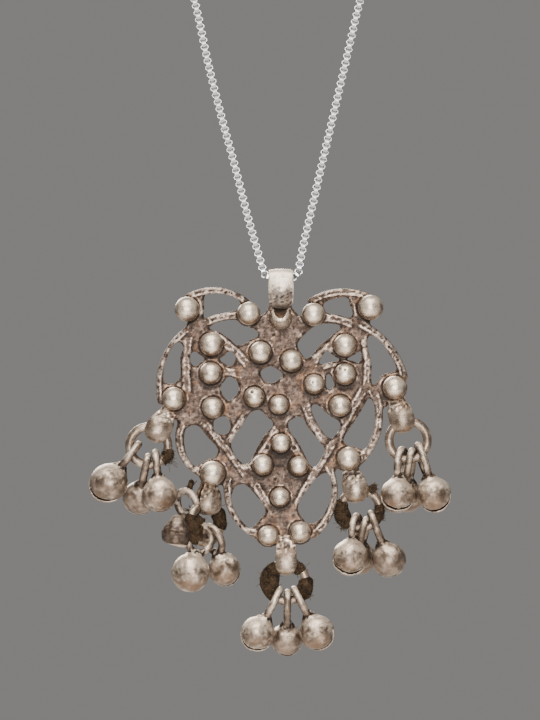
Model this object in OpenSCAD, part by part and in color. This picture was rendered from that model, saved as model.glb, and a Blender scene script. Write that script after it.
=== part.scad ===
// Old silver openwork pendant on a box chain, for a necklace.
// +Z is up and -Y is the front. The origin is the nape of the neck, where the chain hangs.

/* [Openwork] */
// Thickness of the plate that solder and seats make
plate_t = 1.1; // [0.8:0.1:1.6]
// How far the flat wires stand above the plate, front and back
wire_rise = 0.35; // [0.2:0.05:0.6]
// Radius of the solder fillet in the corners between wires
fillet_r = 0.22; // [0.1:0.01:0.3]
// How far a granule's centre lies in front of the plate's middle
granule_y = 1.35; // [1.2:0.05:1.6]

/* [Bail] */
// Width of the strap bail
bail_w = 4.3; // [3.6:0.1:4.4]
// Width of the strap where it passes through the eye
bail_foot_w = 1.5; // [1.2:0.1:1.6]
// Thickness of the bail's strap
bail_t = 0.45; // [0.3:0.05:0.6]
// Radius of the bail's turns, inside
bail_r = 1.15; // [1.1:0.05:1.3]

/* [Ears] */
// Half the thickness of a strap ear, front to back
ear_r = 1.4; // [1.3:0.05:1.6]
// Thickness of an ear's strap
ear_t = 0.5; // [0.3:0.05:0.6]

/* [Jump rings] */
// Radius of a jump ring, to the middle of its wire
ring_r = 3.45; // [3.2:0.05:3.7]
// Radius of a jump ring's wire
ring_wire = 0.66; // [0.5:0.02:0.7]

/* [Bells] */
// Radius of a bell's loop, to the middle of its wire
loop_r = 1.88; // [1.8:0.02:2]
// Radius of the wider loops on the lower left ring, to the middle of the wire
wide_loop_r = 2.25; // [2.1:0.05:2.4]
// Radius of a bell loop's wire
loop_wire = 0.56; // [0.45:0.01:0.6]
// Thickness of a bell's wall
bell_wall = 0.4; // [0.3:0.05:0.5]
// Width of the slit across a bell's foot
slit_w = 0.5; // [0.3:0.05:0.8]
// Radius of the solder neck under a bell's loop
neck_r = 1.25; // [1:0.05:1.5]

/* [Chain] */
// Width of the box chain
chain_w = 1.4; // [1:0.1:1.5]
// Radius of the barrel clasp
clasp_r = 1.9; // [1.5:0.1:2.5]
// Length of the barrel clasp
clasp_l = 9; // [7:0.5:9]

/* [Hidden] */
RING_NODES = ["ring_left", "ring_lower_left", "ring_bottom", "ring_right", "ring_lower_right"];
BELL_NODES = [
    "bell_left_a", "bell_left_b", "bell_left_c", "bell_lower_left_a", "bell_lower_left_b",
    "bell_bottom_a", "bell_bottom_b", "bell_bottom_c",
    "bell_right_a", "bell_right_b", "bell_right_c",
    "bell_lower_right_a", "bell_lower_right_b", "bell_lower_right_c"
];
THREAD_NODES = [
    "thread_bottom_left", "thread_bottom_right", "thread_lower_left", "thread_lower_right"
];
$fn = 48;

// Where the chain's middle lies inside the bail: the hinge of the pendant
pivot = [0, -96, -240];
// The plate's middle: a little behind the pivot, so that the granules' weight hangs plumb
plate_at = pivot + [0, 0.2, 0];
silver = [0.72, 0.69, 0.66];
bright = [0.86, 0.86, 0.87];
brown = [0.3, 0.25, 0.2];

// Flat wires of the openwork, each an arc, seen from the front with the pivot at 0, 0.
// Columns: x and z of the start, x and z of the end, rise of the arc to its left, width
WIRES = [
    // Crown arches and curls
    [-17.1, -3.8, -5.9, -4.7, 1.85, 1.1],
    [-14.6, -3.4, -14.5, -7.6, 0.4, 1.4],
    [-14.0, -8.5, -7.7, -7.0, 0.5, 1.25],
    [4.9, -4.7, 16.4, -3.8, 1.6, 1.2],
    [12.9, -4.0, 13.4, -7.6, -0.3, 1.2],
    [7.6, -7.3, 13.5, -8.9, 0.4, 1.3],
    // Outer arcs
    [-21.6, -22.9, -16.6, -9.2, 2.3, 1.05],
    [13.4, -8.0, 22.3, -18.4, 1.7, 1.35],
    // Uprights inside the outer arcs
    [-16.8, -21.4, -16.6, -10.3, 0.3, 1.55],
    [14.7, -10.3, 15.4, -20.0, 0.5, 1.5],
    // Brows over the upper granules, and their links
    [-12.6, -10.2, -5.6, -16.4, 0.5, 1.4],
    [-10.8, -16.8, -7.4, -17.5, 0, 1.3],
    [11.0, -9.8, 5.2, -15.4, 0.5, 1.6],
    [6.8, -16.5, 10.4, -15.4, 0.2, 1.15],
    [8.0, -20.8, 9.8, -20.1, 0, 0.9],
    // Crossed bars of the middle
    [-14.2, -25.6, -5.9, -36.4, 0.2, 1.2],
    [-6.2, -24.4, -10.0, -30.4, 0, 1.2],
    [4.1, -22.2, 8.1, -30.0, -0.2, 1.7],
    [15.2, -19.8, 9.9, -29.0, -0.1, 1.5],
    [9.9, -29.0, 2.6, -41.6, -0.2, 1.5],
    // Sides of the triangle and the walls under it
    [-0.6, -26.4, -5.4, -34.2, 0.5, 1.4],
    [0.7, -26.4, 4.4, -33.6, -0.4, 1.3],
    [-5.2, -36.6, -1.9, -42.0, 0.1, 1.5],
    // Lower arcs
    [-18.0, -26.6, -13.6, -35.6, -2.1, 1.35],
    [16.2, -19.9, 13.4, -33.6, 2.3, 1.35],
    [-9.4, -35.6, -4.0, -46.6, -1.9, 1.15],
    [8.3, -33.6, 5.6, -46.6, 2.5, 1.3]
];

// Granules. Columns: x, z, radius, radius of the solder seat (0 where it has none)
GRANULES = [
    [-16.9, -5.8, 2.25, 0],
    [16.1, -5.5, 2.3, 0],
    [-5.8, -6.6, 2.1, 0],
    [5.85, -6.75, 2.1, 0],
    [-12.5, -12.1, 2.15, 2.55],
    [11.5, -12.3, 2.05, 2.35],
    [-3.7, -13.6, 2.0, 2.45],
    [1.9, -15.1, 2.0, 2.35],
    [-12.65, -17.3, 2.0, 2.4],
    [11.45, -17.5, 1.95, 2.45],
    [5.95, -19.3, 1.8, 2.3],
    [20.4, -19.9, 2.15, 2.4],
    [-19.3, -21.9, 2.1, 2.3],
    [-4.8, -21.6, 1.85, 2.35],
    [-0.4, -23.0, 1.75, 2.4],
    [-12.3, -23.5, 1.95, 2.4],
    [10.6, -23.2, 1.95, 2.5],
    [-0.05, -29.9, 1.75, 2.2],
    [-3.3, -33.8, 1.9, 2.3],
    [3.15, -34.0, 1.8, 2.2],
    [-12.3, -35.3, 2.25, 2.55],
    [12.1, -32.7, 2.1, 2.55],
    [-0.2, -39.6, 1.75, 2.3],
    [-2.3, -46.5, 1.85, 2.2],
    [3.4, -45.9, 1.95, 2.35]
];

// Pools of solder that fill the plate: how far each runs past its corners, then the corners' x, z
POOLS = [
    // Shoulders under the two crown granules
    [0.75, [-15.3, -7.4], [-16.3, -8.6], [-13.9, -8.6]],
    [0.75, [13.6, -7.5], [15.4, -7.8], [13.6, -9.2]],
    [0.8, [-16.4, -10.2], [-14.0, -9.4], [-14.0, -12.4], [-15.8, -12.6]],
    [0.7, [11.6, -9.7], [15.0, -9.8], [14.8, -12.0], [14.3, -14.6]],
    // Between the left granules
    [1.0, [-16.6, -17.3], [-15.4, -17.3], [-13.6, -19.4], [-12.0, -20.4], [-14.8, -24.9],
     [-17.4, -25.6], [-19.9, -23.9], [-19.6, -20.2], [-16.9, -18.8]],
    [0.9, [-8.3, -17.4], [-6.6, -15.4], [-4.7, -17.3], [-4.7, -19.5], [-7.2, -19.2]],
    [0.9, [-10.2, -24.0], [-7.0, -23.0], [-6.4, -25.0], [-9.2, -25.6]],
    [0.5, [-10.6, -29.0], [-9.0, -29.0], [-9.9, -30.4]],
    // Middle of the heart
    [1.0, [-3.4, -8.0], [3.4, -8.1], [5.4, -9.1], [2.6, -11.2], [0.6, -15.4], [-3.0, -11.4]],
    [0.85, [1.4, -18.2], [3.6, -16.6], [5.4, -16.4], [4.5, -22.6], [0.6, -24.3],
     [-2.4, -20.9], [-2.4, -20.0], [-0.5, -19.5]],
    // Between the right granules
    [1.0, [13.4, -19.4], [14.6, -17.6], [14.6, -20.2], [11.6, -21.2]],
    [0.7, [12.2, -22.4], [12.6, -24.4], [11.4, -24.4]],
    [0.6, [6.2, -21.4], [8.2, -21.6], [8.6, -23.0], [6.4, -22.2]],
    [0.7, [18.0, -18.6], [21.6, -17.8], [18.6, -22.8], [17.2, -20.2]],
    // Round the triangle
    [0.9, [-0.4, -26.1], [0.5, -26.1], [3.6, -33.0], [2.4, -35.6], [-2.4, -35.6], [-3.9, -33.2]],
    [1.0, [-4.8, -36.2], [4.6, -35.8], [1.8, -42.4], [-1.8, -42.4]],
    [0.7, [-11.6, -33.6], [-11.0, -31.9], [-5.6, -36.6], [-9.2, -36.6]],
    [0.8, [8.8, -32.0], [10.6, -30.6], [9.2, -34.4], [7.4, -34.2]],
    // Foot of the heart
    [0.8, [-1.8, -42.6], [1.8, -42.4], [4.6, -44.2], [4.2, -47.2], [-3.0, -47.6], [-4.0, -44.8]]
];

// Strap ears. Columns: x and z of the root, lean from straight down, turn, length, width
EARS = [
    [-20.4, -24.6, -31, 0, 5.7, 3.9],
    [-12.9, -37.6, -6, 38, 5.2, 2.2],
    [0.9, -47.6, 0, 0, 6.1, 3.5],
    [20.9, -22.6, 16, 0, 5.6, 3.9],
    [12.7, -35.5, 15, 0, 5.2, 3.9]
];

// Jump rings. Columns: x and z of the middle, turn about the vertical
RINGS = [
    [-23.8, -30.4, 0],
    [-13.6, -44.4, 38],
    [1.0, -54.9, 0],
    [22.9, -29.4, 0],
    [14.3, -41.8, 0]
];

// Bells. Columns: ring, place on the ring from its foot, hang from straight down, lean back,
// twist about its own stem, how far its loop is pushed up, drop to the bell's middle, radius
BELLS = [
    [0, -66, -38, -4, 0, 0.55, 7.15, 3.45],
    [0, -8, -13, 34, 0, 0, 7.5, 3.0],
    [0, 24, 6, -12, 0, 0.4, 6.1, 3.15],
    [1, -25, -15, -12, 60, 1.4, 7.3, 3.45],
    [1, 30, 21, 8, 38, 1, 6.7, 3.0],
    [2, -34, -27, -2, 0, 0, 7.2, 3.1],
    [2, 3, -1, 23, 0, 0, 7.7, 2.9],
    [2, 38, 28, -2, 0, 0, 7.15, 3.15],
    [3, -17, -8, -12, 0, 0, 6.75, 3.05],
    [3, 8, -4, 34, 0, 0, 8.0, 3.0],
    [3, 42, 18, -2, 0, 0.15, 7.55, 3.1],
    [4, -12, -11, -14, 0, 0.5, 6.05, 3.2],
    [4, 12, -8, 40, 0, 0, 7.4, 3.0],
    [4, 46, 21, 0, 0, 0.15, 7.35, 3.1]
];

// The crushed bell, which thread ties to the lower left ring: the middle of its loop and the
// loop's turn, the middle of its body and that body's radius, and the tie round both wires
crushed_loop = [-17.8, 1.2, -40.8];
crushed_turn = 60;
crushed_middle = [-19.3, -2.9, -45.5];
crushed_r = 2.4;
tie_middle = [-16.2, -0.7, -42.7];
tie_slope = 34;
tie_turn = 11;
tie_reach = 1.18;
tie_r = 1.1;
tie_length = 0.9;
tie_wall = 0.35;

// Thread windings. Columns: ring, first and last place on the ring, radius of the winding
WINDINGS = [
    [2, -132, -60, 1.35],
    [2, 66, 114, 1.35],
    [1, 76, 130, 1.2],
    [4, -86, -34, 1.2]
];

// Route of the chain, from the clasp down the left strand, through the bail and up the right.
// Columns: x, y, z. The bail's stretch is measured from the pivot
LEFT_NECK = [
    [-5, 0, 0], [-9, 0, -1], [-14, -1, -2], [-20, -3, -3.5], [-26, -6, -6], [-32, -10, -9],
    [-38, -15, -13], [-43, -21, -18], [-47, -28, -23], [-50, -36, -29], [-51.5, -43, -35],
    [-51.5, -49, -42], [-50, -53, -50], [-45, -58, -70], [-39, -64, -95], [-33, -70, -120],
    [-27, -76, -145]
];
RIGHT_NECK = [for (p = LEFT_NECK) [-p[0], p[1], p[2]]];
LEFT_FRONT = [
    [-21, 14.5, 70], [-15.6, 10.5, 50], [-13, 8, 38], [-10.6, 6, 28.5], [-8.3, 4, 20],
    [-6.4, 2.4, 12.5], [-4.9, 1.2, 7], [-3.9, 0.5, 3.6], [-3.4, 0.2, 1.8],
    [-3, 0.05, 0.6], [-2.3, 0, 0.05], [-1.2, 0, 0]
];
RIGHT_FRONT = [
    [1.2, 0, 0], [2.3, 0, 0.05], [3, 0.05, 0.6], [3.3, 0.2, 1.8], [3.6, 0.5, 3.6],
    [4.3, 1.2, 7], [5.6, 2.4, 12.5], [7.3, 4, 20], [9.3, 6, 28.5], [11.5, 8, 38],
    [14.3, 10.5, 50], [19.6, 14.5, 70]
];
ROUTE = concat(
    LEFT_NECK,
    [for (p = LEFT_FRONT) p + pivot],
    [for (p = RIGHT_FRONT) p + pivot],
    [for (i = [len(RIGHT_NECK) - 1 : -1 : 0]) RIGHT_NECK[i]]
);

// A wire's arc: half its chord, its half angle and its radius
function half_chord(w) = norm([w[2] - w[0], w[3] - w[1]]) / 2;
function half_angle(w) = 2 * atan(w[4] / half_chord(w));
function arc_r(w) = half_chord(w) / sin(half_angle(w));
// Point of a wire at t, from -1 at its start to 1 at its end, moved sideways by off
function wire_point(w, t, off) =
    let (
        mid = [(w[0] + w[2]) / 2, (w[1] + w[3]) / 2],
        u = [w[2] - w[0], w[3] - w[1]] / (2 * half_chord(w)),
        n = [-u[1], u[0]],
        straight = abs(w[4]) < 0.01,
        along = straight ? t * half_chord(w) : (arc_r(w) + off) * sin(half_angle(w) * t),
        side = straight ? off : (arc_r(w) + off) * cos(half_angle(w) * t) - arc_r(w) + w[4]
    )
    mid + u * along + n * side;
function ring_point(k, a) =
    [RINGS[k][0] + ring_r * sin(a) * cos(RINGS[k][2]),
     ring_r * sin(a) * sin(RINGS[k][2]),
     RINGS[k][1] - ring_r * cos(a)];

// A wire's flat face, narrower than its width by 2 * trim
module wire_2d(w, trim = 0) {
    half = w[5] / 2 - trim;
    steps = abs(w[4]) < 1 ? 3 : 6;
    polygon(concat(
        [for (i = [0 : steps]) wire_point(w, 2 * i / steps - 1, half)],
        [for (i = [steps : -1 : 0]) wire_point(w, 2 * i / steps - 1, -half)]
    ));
}

// Outline of the plate: wires, seats and solder pools run together with filled corners
module plate_2d() {
    offset(r = -fillet_r, $fn = 12) offset(r = fillet_r, $fn = 12) {
        for (w = WIRES) wire_2d(w);
        for (g = GRANULES) if (g[3] > 0) translate([g[0], g[1]]) circle(r = g[3], $fn = 28);
        for (p = POOLS) offset(r = p[0], $fn = 12) polygon([for (i = [1 : len(p) - 1]) p[i]]);
    }
}
// The raised faces of all the wires
module wires_2d() {
    offset(delta = 0.01) for (w = WIRES) wire_2d(w, 0.14);
}

// Turns a front outline upright, t thick about the plate's middle
module upright(t) {
    rotate([90, 0, 0]) linear_extrude(t, center = true) children();
}

// The eye at the top of the plate: a ring that the bail passes through, with a domed lip
eye_z = -6.15;
eye_ring_r = 1.7;
eye_wire = 0.55;
eye_hole_r = eye_ring_r - eye_wire;
module eye() {
    translate([0, 0, eye_z]) rotate([90, 0, 0]) rotate_extrude() translate([eye_ring_r, 0])
        circle(r = eye_wire);
    difference() {
        translate([0, -0.3, eye_z - 1.35]) sphere(r = 1.85);
        translate([0, 0, eye_z]) rotate([90, 0, 0]) cylinder(r = eye_hole_r, h = 8, center = true);
        translate([0, 0, eye_z + 3]) cube([6, 8, 6], center = true);
    }
}

// A strap bent over to hold a jump ring. It starts at its root and points down
module ear(e) {
    reach = e[4];
    tip_r = e[5] / 2;
    hole_r = ear_r - ear_t;
    root = 0.9;
    translate([e[0], 0, e[1]]) rotate([0, -e[2], 0]) rotate([0, 0, e[3]]) intersection() {
        rotate([90, 0, 90]) linear_extrude(e[5], center = true) difference() {
            union() {
                translate([0, -reach + ear_r]) circle(r = ear_r);
                translate([-ear_r, -reach + ear_r]) square([2 * ear_r, reach - ear_r + root]);
            }
            translate([0, -reach + ear_r]) circle(r = hole_r);
            translate([-hole_r, -reach + ear_r]) square([2 * hole_r, reach - ear_r - 2.1]);
        }
        upright(4 * ear_r) {
            translate([0, -reach + tip_r]) circle(r = tip_r);
            translate([-tip_r, -reach + tip_r]) square([2 * tip_r, reach - tip_r + root]);
        }
    }
}

module openwork() {
    color(silver) translate(plate_at) {
        difference() {
            union() {
                upright(plate_t) plate_2d();
                upright(plate_t + 2 * wire_rise) wires_2d();
                for (g = GRANULES) translate([g[0], -granule_y, g[1]]) sphere(r = g[2]);
            }
            translate([0, 0, eye_z]) rotate([90, 0, 0])
                cylinder(r = eye_ring_r, h = 12, center = true);
        }
        eye();
        for (e = EARS) ear(e);
    }
}

bail_top = chain_w / 2 + 0.25 - bail_r;
bail_foot = eye_z + eye_ring_r - eye_wire - 0.4 + bail_r;
module bail() {
    outer = bail_r + bail_t;
    color(silver) translate(pivot) intersection() {
        rotate([90, 0, 90]) linear_extrude(bail_w, center = true) difference() {
            union() {
                translate([0, bail_top]) circle(r = outer);
                translate([0, bail_foot]) circle(r = outer);
                translate([-outer, bail_foot]) square([2 * outer, bail_top - bail_foot]);
            }
            translate([0, bail_top]) circle(r = bail_r);
            translate([0, bail_foot]) circle(r = bail_r);
            translate([-bail_r, bail_foot]) square([2 * bail_r, bail_top - bail_foot]);
        }
        upright(4 * outer) polygon([
            [-bail_w / 2, bail_top + 2 * outer], [bail_w / 2, bail_top + 2 * outer],
            [bail_w / 2, bail_foot + 0.4], [bail_foot_w / 2, bail_foot - bail_r + 0.15],
            [bail_foot_w / 2, bail_foot - 2 * outer], [-bail_foot_w / 2, bail_foot - 2 * outer],
            [-bail_foot_w / 2, bail_foot - bail_r + 0.15], [-bail_w / 2, bail_foot + 0.4]
        ]);
    }
}

module jump_ring(k) {
    color(silver) translate(plate_at + [RINGS[k][0], 0, RINGS[k][1]]) rotate([90, 0, RINGS[k][2]])
        rotate_extrude() translate([ring_r, 0]) circle(r = ring_wire);
}

// Gap that keeps a bell's loop clear of its jump ring
loop_gap = 0.16;
// A bell's wire loop, standing in its own yz plane
module bell_loop(r) {
    rotate([0, 90, 0]) rotate_extrude() translate([r, 0]) circle(r = loop_wire);
}
// The slit across the foot of a bell
module slit(r) {
    translate([0, 0, -r]) cube([3 * r, slit_w, 1.7 * r], center = true);
}
// Hollow body of a bell, its slit running from side to side
module bell_body(r) {
    difference() {
        sphere(r = r);
        sphere(r = r - bell_wall);
        slit(r);
    }
}
module bell(i) {
    b = BELLS[i];
    r = b[7];
    turn_r = b[0] == 1 ? wide_loop_r : loop_r;
    loop_z = -(turn_r - loop_wire - ring_wire - loop_gap) + b[5];
    body_z = -b[6] + b[5];
    neck_top = loop_z - turn_r - 0.2;
    neck_foot = body_z + 0.8 * r;
    color(silver) translate(plate_at + ring_point(b[0], b[1])) rotate([0, -b[2], 0])
        rotate([b[3], 0, 0]) rotate([0, 0, b[4]]) {
            difference() {
                union() {
                    translate([0, 0, loop_z]) bell_loop(turn_r);
                    translate([0, 0, neck_foot])
                        cylinder(r1 = neck_r + 0.35, r2 = 0.75, h = neck_top - neck_foot);
                }
                translate([0, 0, body_z]) sphere(r = r - bell_wall / 2);
            }
            translate([0, 0, body_z]) bell_body(r);
        }
}
// A bell whose lower front is pressed in by a blow, its neck bent forward
module crushed_bell() {
    r = crushed_r;
    dent = [0.35 * r, -1.2 * r, -1.15 * r];
    loop_foot = crushed_loop - [0, 0, wide_loop_r];
    neck = crushed_middle - loop_foot;
    neck_l = norm(neck) - 0.6 * r;
    color(silver) translate(plate_at) {
        difference() {
            union() {
                translate(crushed_loop) rotate([0, 0, crushed_turn]) bell_loop(wide_loop_r);
                translate(loop_foot) rotate([0, acos(neck[2] / norm(neck)), atan2(neck[1], neck[0])])
                    cylinder(r1 = loop_wire * 1.2, r2 = neck_r, h = neck_l);
            }
            translate(crushed_middle) sphere(r = r - bell_wall / 2);
        }
        translate(crushed_middle) difference() {
            sphere(r = r);
            difference() {
                sphere(r = r - bell_wall);
                translate(dent) sphere(r = r + bell_wall);
            }
            translate(dent) sphere(r = r);
            slit(r);
        }
    }
}

// Old thread wound round a jump ring
module thread_winding(k) {
    t = WINDINGS[k];
    c = RINGS[t[0]];
    color(brown) translate(plate_at + [c[0], 0, c[1]]) rotate([90, 0, c[2]])
        rotate([0, 0, t[1] - 90]) rotate_extrude(angle = t[2] - t[1]) translate([ring_r, 0])
            difference() {
                circle(r = t[3]);
                circle(r = ring_wire + 0.05);
            }
}

// A round-ended outline, its ends' middles reach away from the middle each way
module tie_2d(r) {
    for (s = [-1, 1]) translate([0, s * tie_reach]) circle(r = r);
    square([2 * r, 2 * tie_reach], center = true);
}
// Thread wound round both the lower left ring and the crushed bell's loop
module thread_tie() {
    color(brown) translate(plate_at + tie_middle) rotate([0, tie_slope, 0])
        rotate([0, 0, tie_turn]) linear_extrude(tie_length, center = true) difference() {
            tie_2d(tie_r + tie_wall);
            tie_2d(tie_r);
        }
}

// Sweep of a round section along the route, a ring of points at each of its points
sides = 8;
function unit(v) = v / norm(v);
function heading(p, i) = unit(p[min(i + 1, len(p) - 1)] - p[max(i - 1, 0)]);
module chain() {
    r = chain_w / 2;
    n = len(ROUTE);
    points = [for (i = [0 : n - 1])
        let (t = heading(ROUTE, i), a = unit(cross(t, [0.35, 1, 0.12])), b = cross(t, a))
        for (k = [0 : sides - 1]) ROUTE[i] + r * (cos(360 * k / sides) * a + sin(360 * k / sides) * b)];
    walls = [for (i = [0 : n - 2]) for (k = [0 : sides - 1])
        let (j = (k + 1) % sides)
        [i * sides + j, i * sides + k, (i + 1) * sides + k, (i + 1) * sides + j]];
    caps = [[for (k = [0 : sides - 1]) k], [for (k = [sides - 1 : -1 : 0]) (n - 1) * sides + k]];
    color(bright) polyhedron(points, concat(walls, caps), convexity = 10);
}

module clasp() {
    color(bright) rotate([0, 90, 0]) {
        cylinder(r = clasp_r, h = clasp_l - 2, center = true);
        for (s = [-1, 1]) translate([0, 0, s * (clasp_l / 2 - 1)]) mirror([0, 0, s < 0 ? 1 : 0])
            cylinder(r1 = clasp_r, r2 = chain_w / 2, h = 0.8);
    }
}

chain();
clasp();
bail();
openwork();
for (k = [0 : len(RINGS) - 1]) jump_ring(k);
for (k = [0 : len(BELLS) - 1]) bell(k);
crushed_bell();  // bell_crushed
for (k = [0 : len(WINDINGS) - 1]) thread_winding(k);
thread_tie();
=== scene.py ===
# Old silver openwork pendant with bells on jump rings, hanging on a bright box chain.
from collections import namedtuple
from math import atan, atan2, cos, pi, radians, sin, sqrt

import bmesh
import bpy
import numpy as np
from mathutils import Matrix, Vector, kdtree, noise


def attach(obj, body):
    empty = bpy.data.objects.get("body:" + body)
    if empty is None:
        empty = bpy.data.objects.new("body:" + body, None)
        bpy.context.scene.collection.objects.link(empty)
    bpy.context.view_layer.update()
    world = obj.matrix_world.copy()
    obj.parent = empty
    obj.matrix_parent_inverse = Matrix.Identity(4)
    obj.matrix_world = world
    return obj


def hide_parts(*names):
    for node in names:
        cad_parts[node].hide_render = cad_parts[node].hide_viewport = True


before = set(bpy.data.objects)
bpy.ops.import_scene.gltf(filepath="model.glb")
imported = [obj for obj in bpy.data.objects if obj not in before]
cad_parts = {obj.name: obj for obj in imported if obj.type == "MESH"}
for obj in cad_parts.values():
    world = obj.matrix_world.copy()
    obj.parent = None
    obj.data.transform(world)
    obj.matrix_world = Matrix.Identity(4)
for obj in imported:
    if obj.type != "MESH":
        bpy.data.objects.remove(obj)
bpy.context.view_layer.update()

# The camera stands straight in front of the pendant, as in the photograph, where a pixel is
# 0.18 mm and the chain's middle in the bail lies at pixel 281, 277 of 540 by 720.
PIXEL = 0.00018
PIVOT = Vector((0, -0.096, -0.24))
picture_height = 720
pivot_pixel = Vector((281, 277))
middle_pixel = Vector((270, 360))
camera_away = 0.7
sensor_long_side = 36
aim = PIVOT + Vector((
    (middle_pixel.x - pivot_pixel.x) * PIXEL, 0, (pivot_pixel.y - middle_pixel.y) * PIXEL))
camera = bpy.data.objects.new("camera", bpy.data.cameras.new("camera"))
camera.data.sensor_width = sensor_long_side
camera.data.lens = sensor_long_side * camera_away / (picture_height * PIXEL)
camera.data.clip_start = 0.01
camera.location = aim - Vector((0, camera_away, 0))
camera.rotation_euler = (pi / 2, 0, 0)
bpy.context.collection.objects.link(camera)
bpy.context.scene.camera = camera

# A pale round floor well under the hanging necklace, and a plain pale room round it. Both are
# the studio's, not the object's.
floor_at = Vector((0, -0.05, -0.62))
floor_r = 1.6
floor_mesh = bmesh.new()
bmesh.ops.create_circle(
    floor_mesh, cap_ends=True, segments=96, radius=floor_r, matrix=Matrix.Translation(floor_at))
floor = bpy.data.objects.new("floor", bpy.data.meshes.new("floor"))
floor_mesh.to_mesh(floor.data)
floor_mesh.free()
floor_paint = bpy.data.materials.new("floor_paint")
floor_paint.use_nodes = True
floor_shader = floor_paint.node_tree.nodes["Principled BSDF"]
floor_shader.inputs["Base Color"].default_value = (0.78, 0.77, 0.75, 1)
floor_shader.inputs["Roughness"].default_value = 0.9
floor.data.materials.append(floor_paint)
bpy.context.collection.objects.link(floor)

room = bpy.data.worlds.new("room")
room.use_nodes = True
room_light = room.node_tree.nodes["Background"]
room_light.inputs["Color"].default_value = (0.82, 0.80, 0.77, 1)
room_light.inputs["Strength"].default_value = 0.27
bpy.context.scene.world = room

# Soft boxes: a wide one above the camera, one round the camera, one behind the pendant and a
# weak one below it. All are turned to the middle of the picture.
# Columns: name, place from the pivot, size, power, colour
SOFT_BOXES = [
    ("key_light", (-0.08, -0.50, 0.80), 0.95, 13.5, (1.0, 0.93, 0.84)),
    ("front_light", (0.0, -0.95, 0.03), 0.60, 9.0, (1.0, 0.97, 0.94)),
    ("back_light", (-0.25, 0.80, 0.45), 0.60, 7.5, (1.0, 0.95, 0.89)),
    ("low_light", (0.0, -0.20, -0.34), 0.45, 1.0, (1.0, 0.91, 0.85)),
]
for light_name, place, size, power, colour in SOFT_BOXES:
    box = bpy.data.lights.new(light_name, "AREA")
    box.size = size
    box.energy = power
    box.color = colour
    lamp = bpy.data.objects.new(light_name, box)
    lamp.location = PIVOT + Vector(place)
    lamp.rotation_euler = (aim - lamp.location).to_track_quat("-Z", "Y").to_euler()
    lamp.visible_camera = False
    bpy.context.collection.objects.link(lamp)


# Openwork plate: flat silver wires laid in arcs and crossed bars, with solder run between them
# into one plate. It is old silver, worn bright along the wires' edges, brown in the corners, with a
# painted shadow round and below each granule and under the eye.
# All of the pendant is modelled in millimetres from the plate's middle, under the chain's middle.
PIVOT_MM = PIVOT * 1000
# The plate's middle lies a little behind the chain's middle.
PLATE_AT = PIVOT_MM + Vector((0, 0.2, 0))
plate_t = 1.1
# Where a wire's bevel meets its faces, as a share of its half width and half depth
wire_bevel = 0.72
# An arc that rises less than this is a straight wire
least_rise = 0.05
arc_steps = 14
outline_steps = 9
rough_voxel = 0.3
plate_voxel = 0.2
Wire = namedtuple("Wire", "x z end_x end_z rise width wear")
# Columns: x and z of the start, x and z of the end, rise of the arc to its left, width,
# how deep its groove is worn
WIRES = [Wire(*row) for row in (
    # Crown arches and curls
    (-17.1, -3.8, -5.9, -4.7, 1.85, 1.1, 1.0),
    (-14.6, -3.4, -14.5, -7.6, 0.4, 1.4, 0.3),
    (-14.0, -8.5, -7.7, -7.0, 0.5, 1.25, 0.6),
    (4.9, -4.7, 16.4, -3.8, 1.6, 1.2, 1.0),
    (12.9, -4.0, 13.4, -7.6, -0.3, 1.2, 0.3),
    (7.6, -7.3, 13.5, -8.9, 0.4, 1.3, 0.6),
    # Outer arcs
    (-21.6, -22.9, -16.6, -9.2, 2.3, 1.05, 1.0),
    (13.4, -8.0, 22.3, -18.4, 1.7, 1.35, 1.0),
    # Uprights inside the outer arcs
    (-16.8, -21.4, -16.6, -10.3, 0.3, 1.55, 0.2),
    (14.7, -10.3, 15.4, -20.0, 0.5, 1.5, 0.2),
    # Brows over the upper granules, and their links
    (-12.6, -10.2, -5.6, -16.4, 0.5, 1.4, 0.3),
    (-10.8, -16.8, -7.4, -17.5, 0, 1.3, 0.2),
    (11.0, -9.8, 5.2, -15.4, 0.5, 1.6, 0.3),
    (6.8, -16.5, 10.4, -15.4, 0.2, 1.15, 0.2),
    (8.0, -20.8, 9.8, -20.1, 0, 0.9, 0.2),
    # Crossed bars of the middle
    (-14.2, -25.6, -5.9, -36.4, 0.2, 1.2, 0.35),
    (-6.2, -24.4, -10.0, -30.4, 0, 1.2, 0.35),
    (4.1, -22.2, 8.1, -30.0, -0.2, 1.7, 0.25),
    (15.2, -19.8, 9.9, -29.0, -0.1, 1.5, 0.25),
    (9.9, -29.0, 2.6, -41.6, -0.2, 1.5, 0.25),
    # Sides of the triangle and the walls under it
    (-0.6, -26.4, -5.4, -34.2, 0.5, 1.4, 0.3),
    (0.7, -26.4, 4.4, -33.6, -0.4, 1.3, 0.3),
    (-5.2, -36.6, -1.9, -42.0, 0.1, 1.5, 0.3),
    # Lower arcs
    (-18.0, -26.6, -13.6, -35.6, -2.1, 1.35, 0.7),
    (16.2, -19.9, 13.4, -33.6, 2.6, 1.65, 0.4),
    (-9.4, -35.6, -4.0, -46.6, -2.3, 1.35, 1.0),
    (8.3, -33.6, 5.6, -46.6, 2.5, 1.3, 0.9),
    # A second wire beside a crossed bar
    (-8.2, -31.4, -5.0, -35.5, 0, 0.9, 0.2),
)]
# The wires that make the plate's edge
crown_left, crown_right, outer_left, outer_right = WIRES[0], WIRES[3], WIRES[6], WIRES[7]
lower_left, lower_right, foot_left, foot_right = WIRES[23:27]
Granule = namedtuple("Granule", "x z r seat_r")
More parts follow.
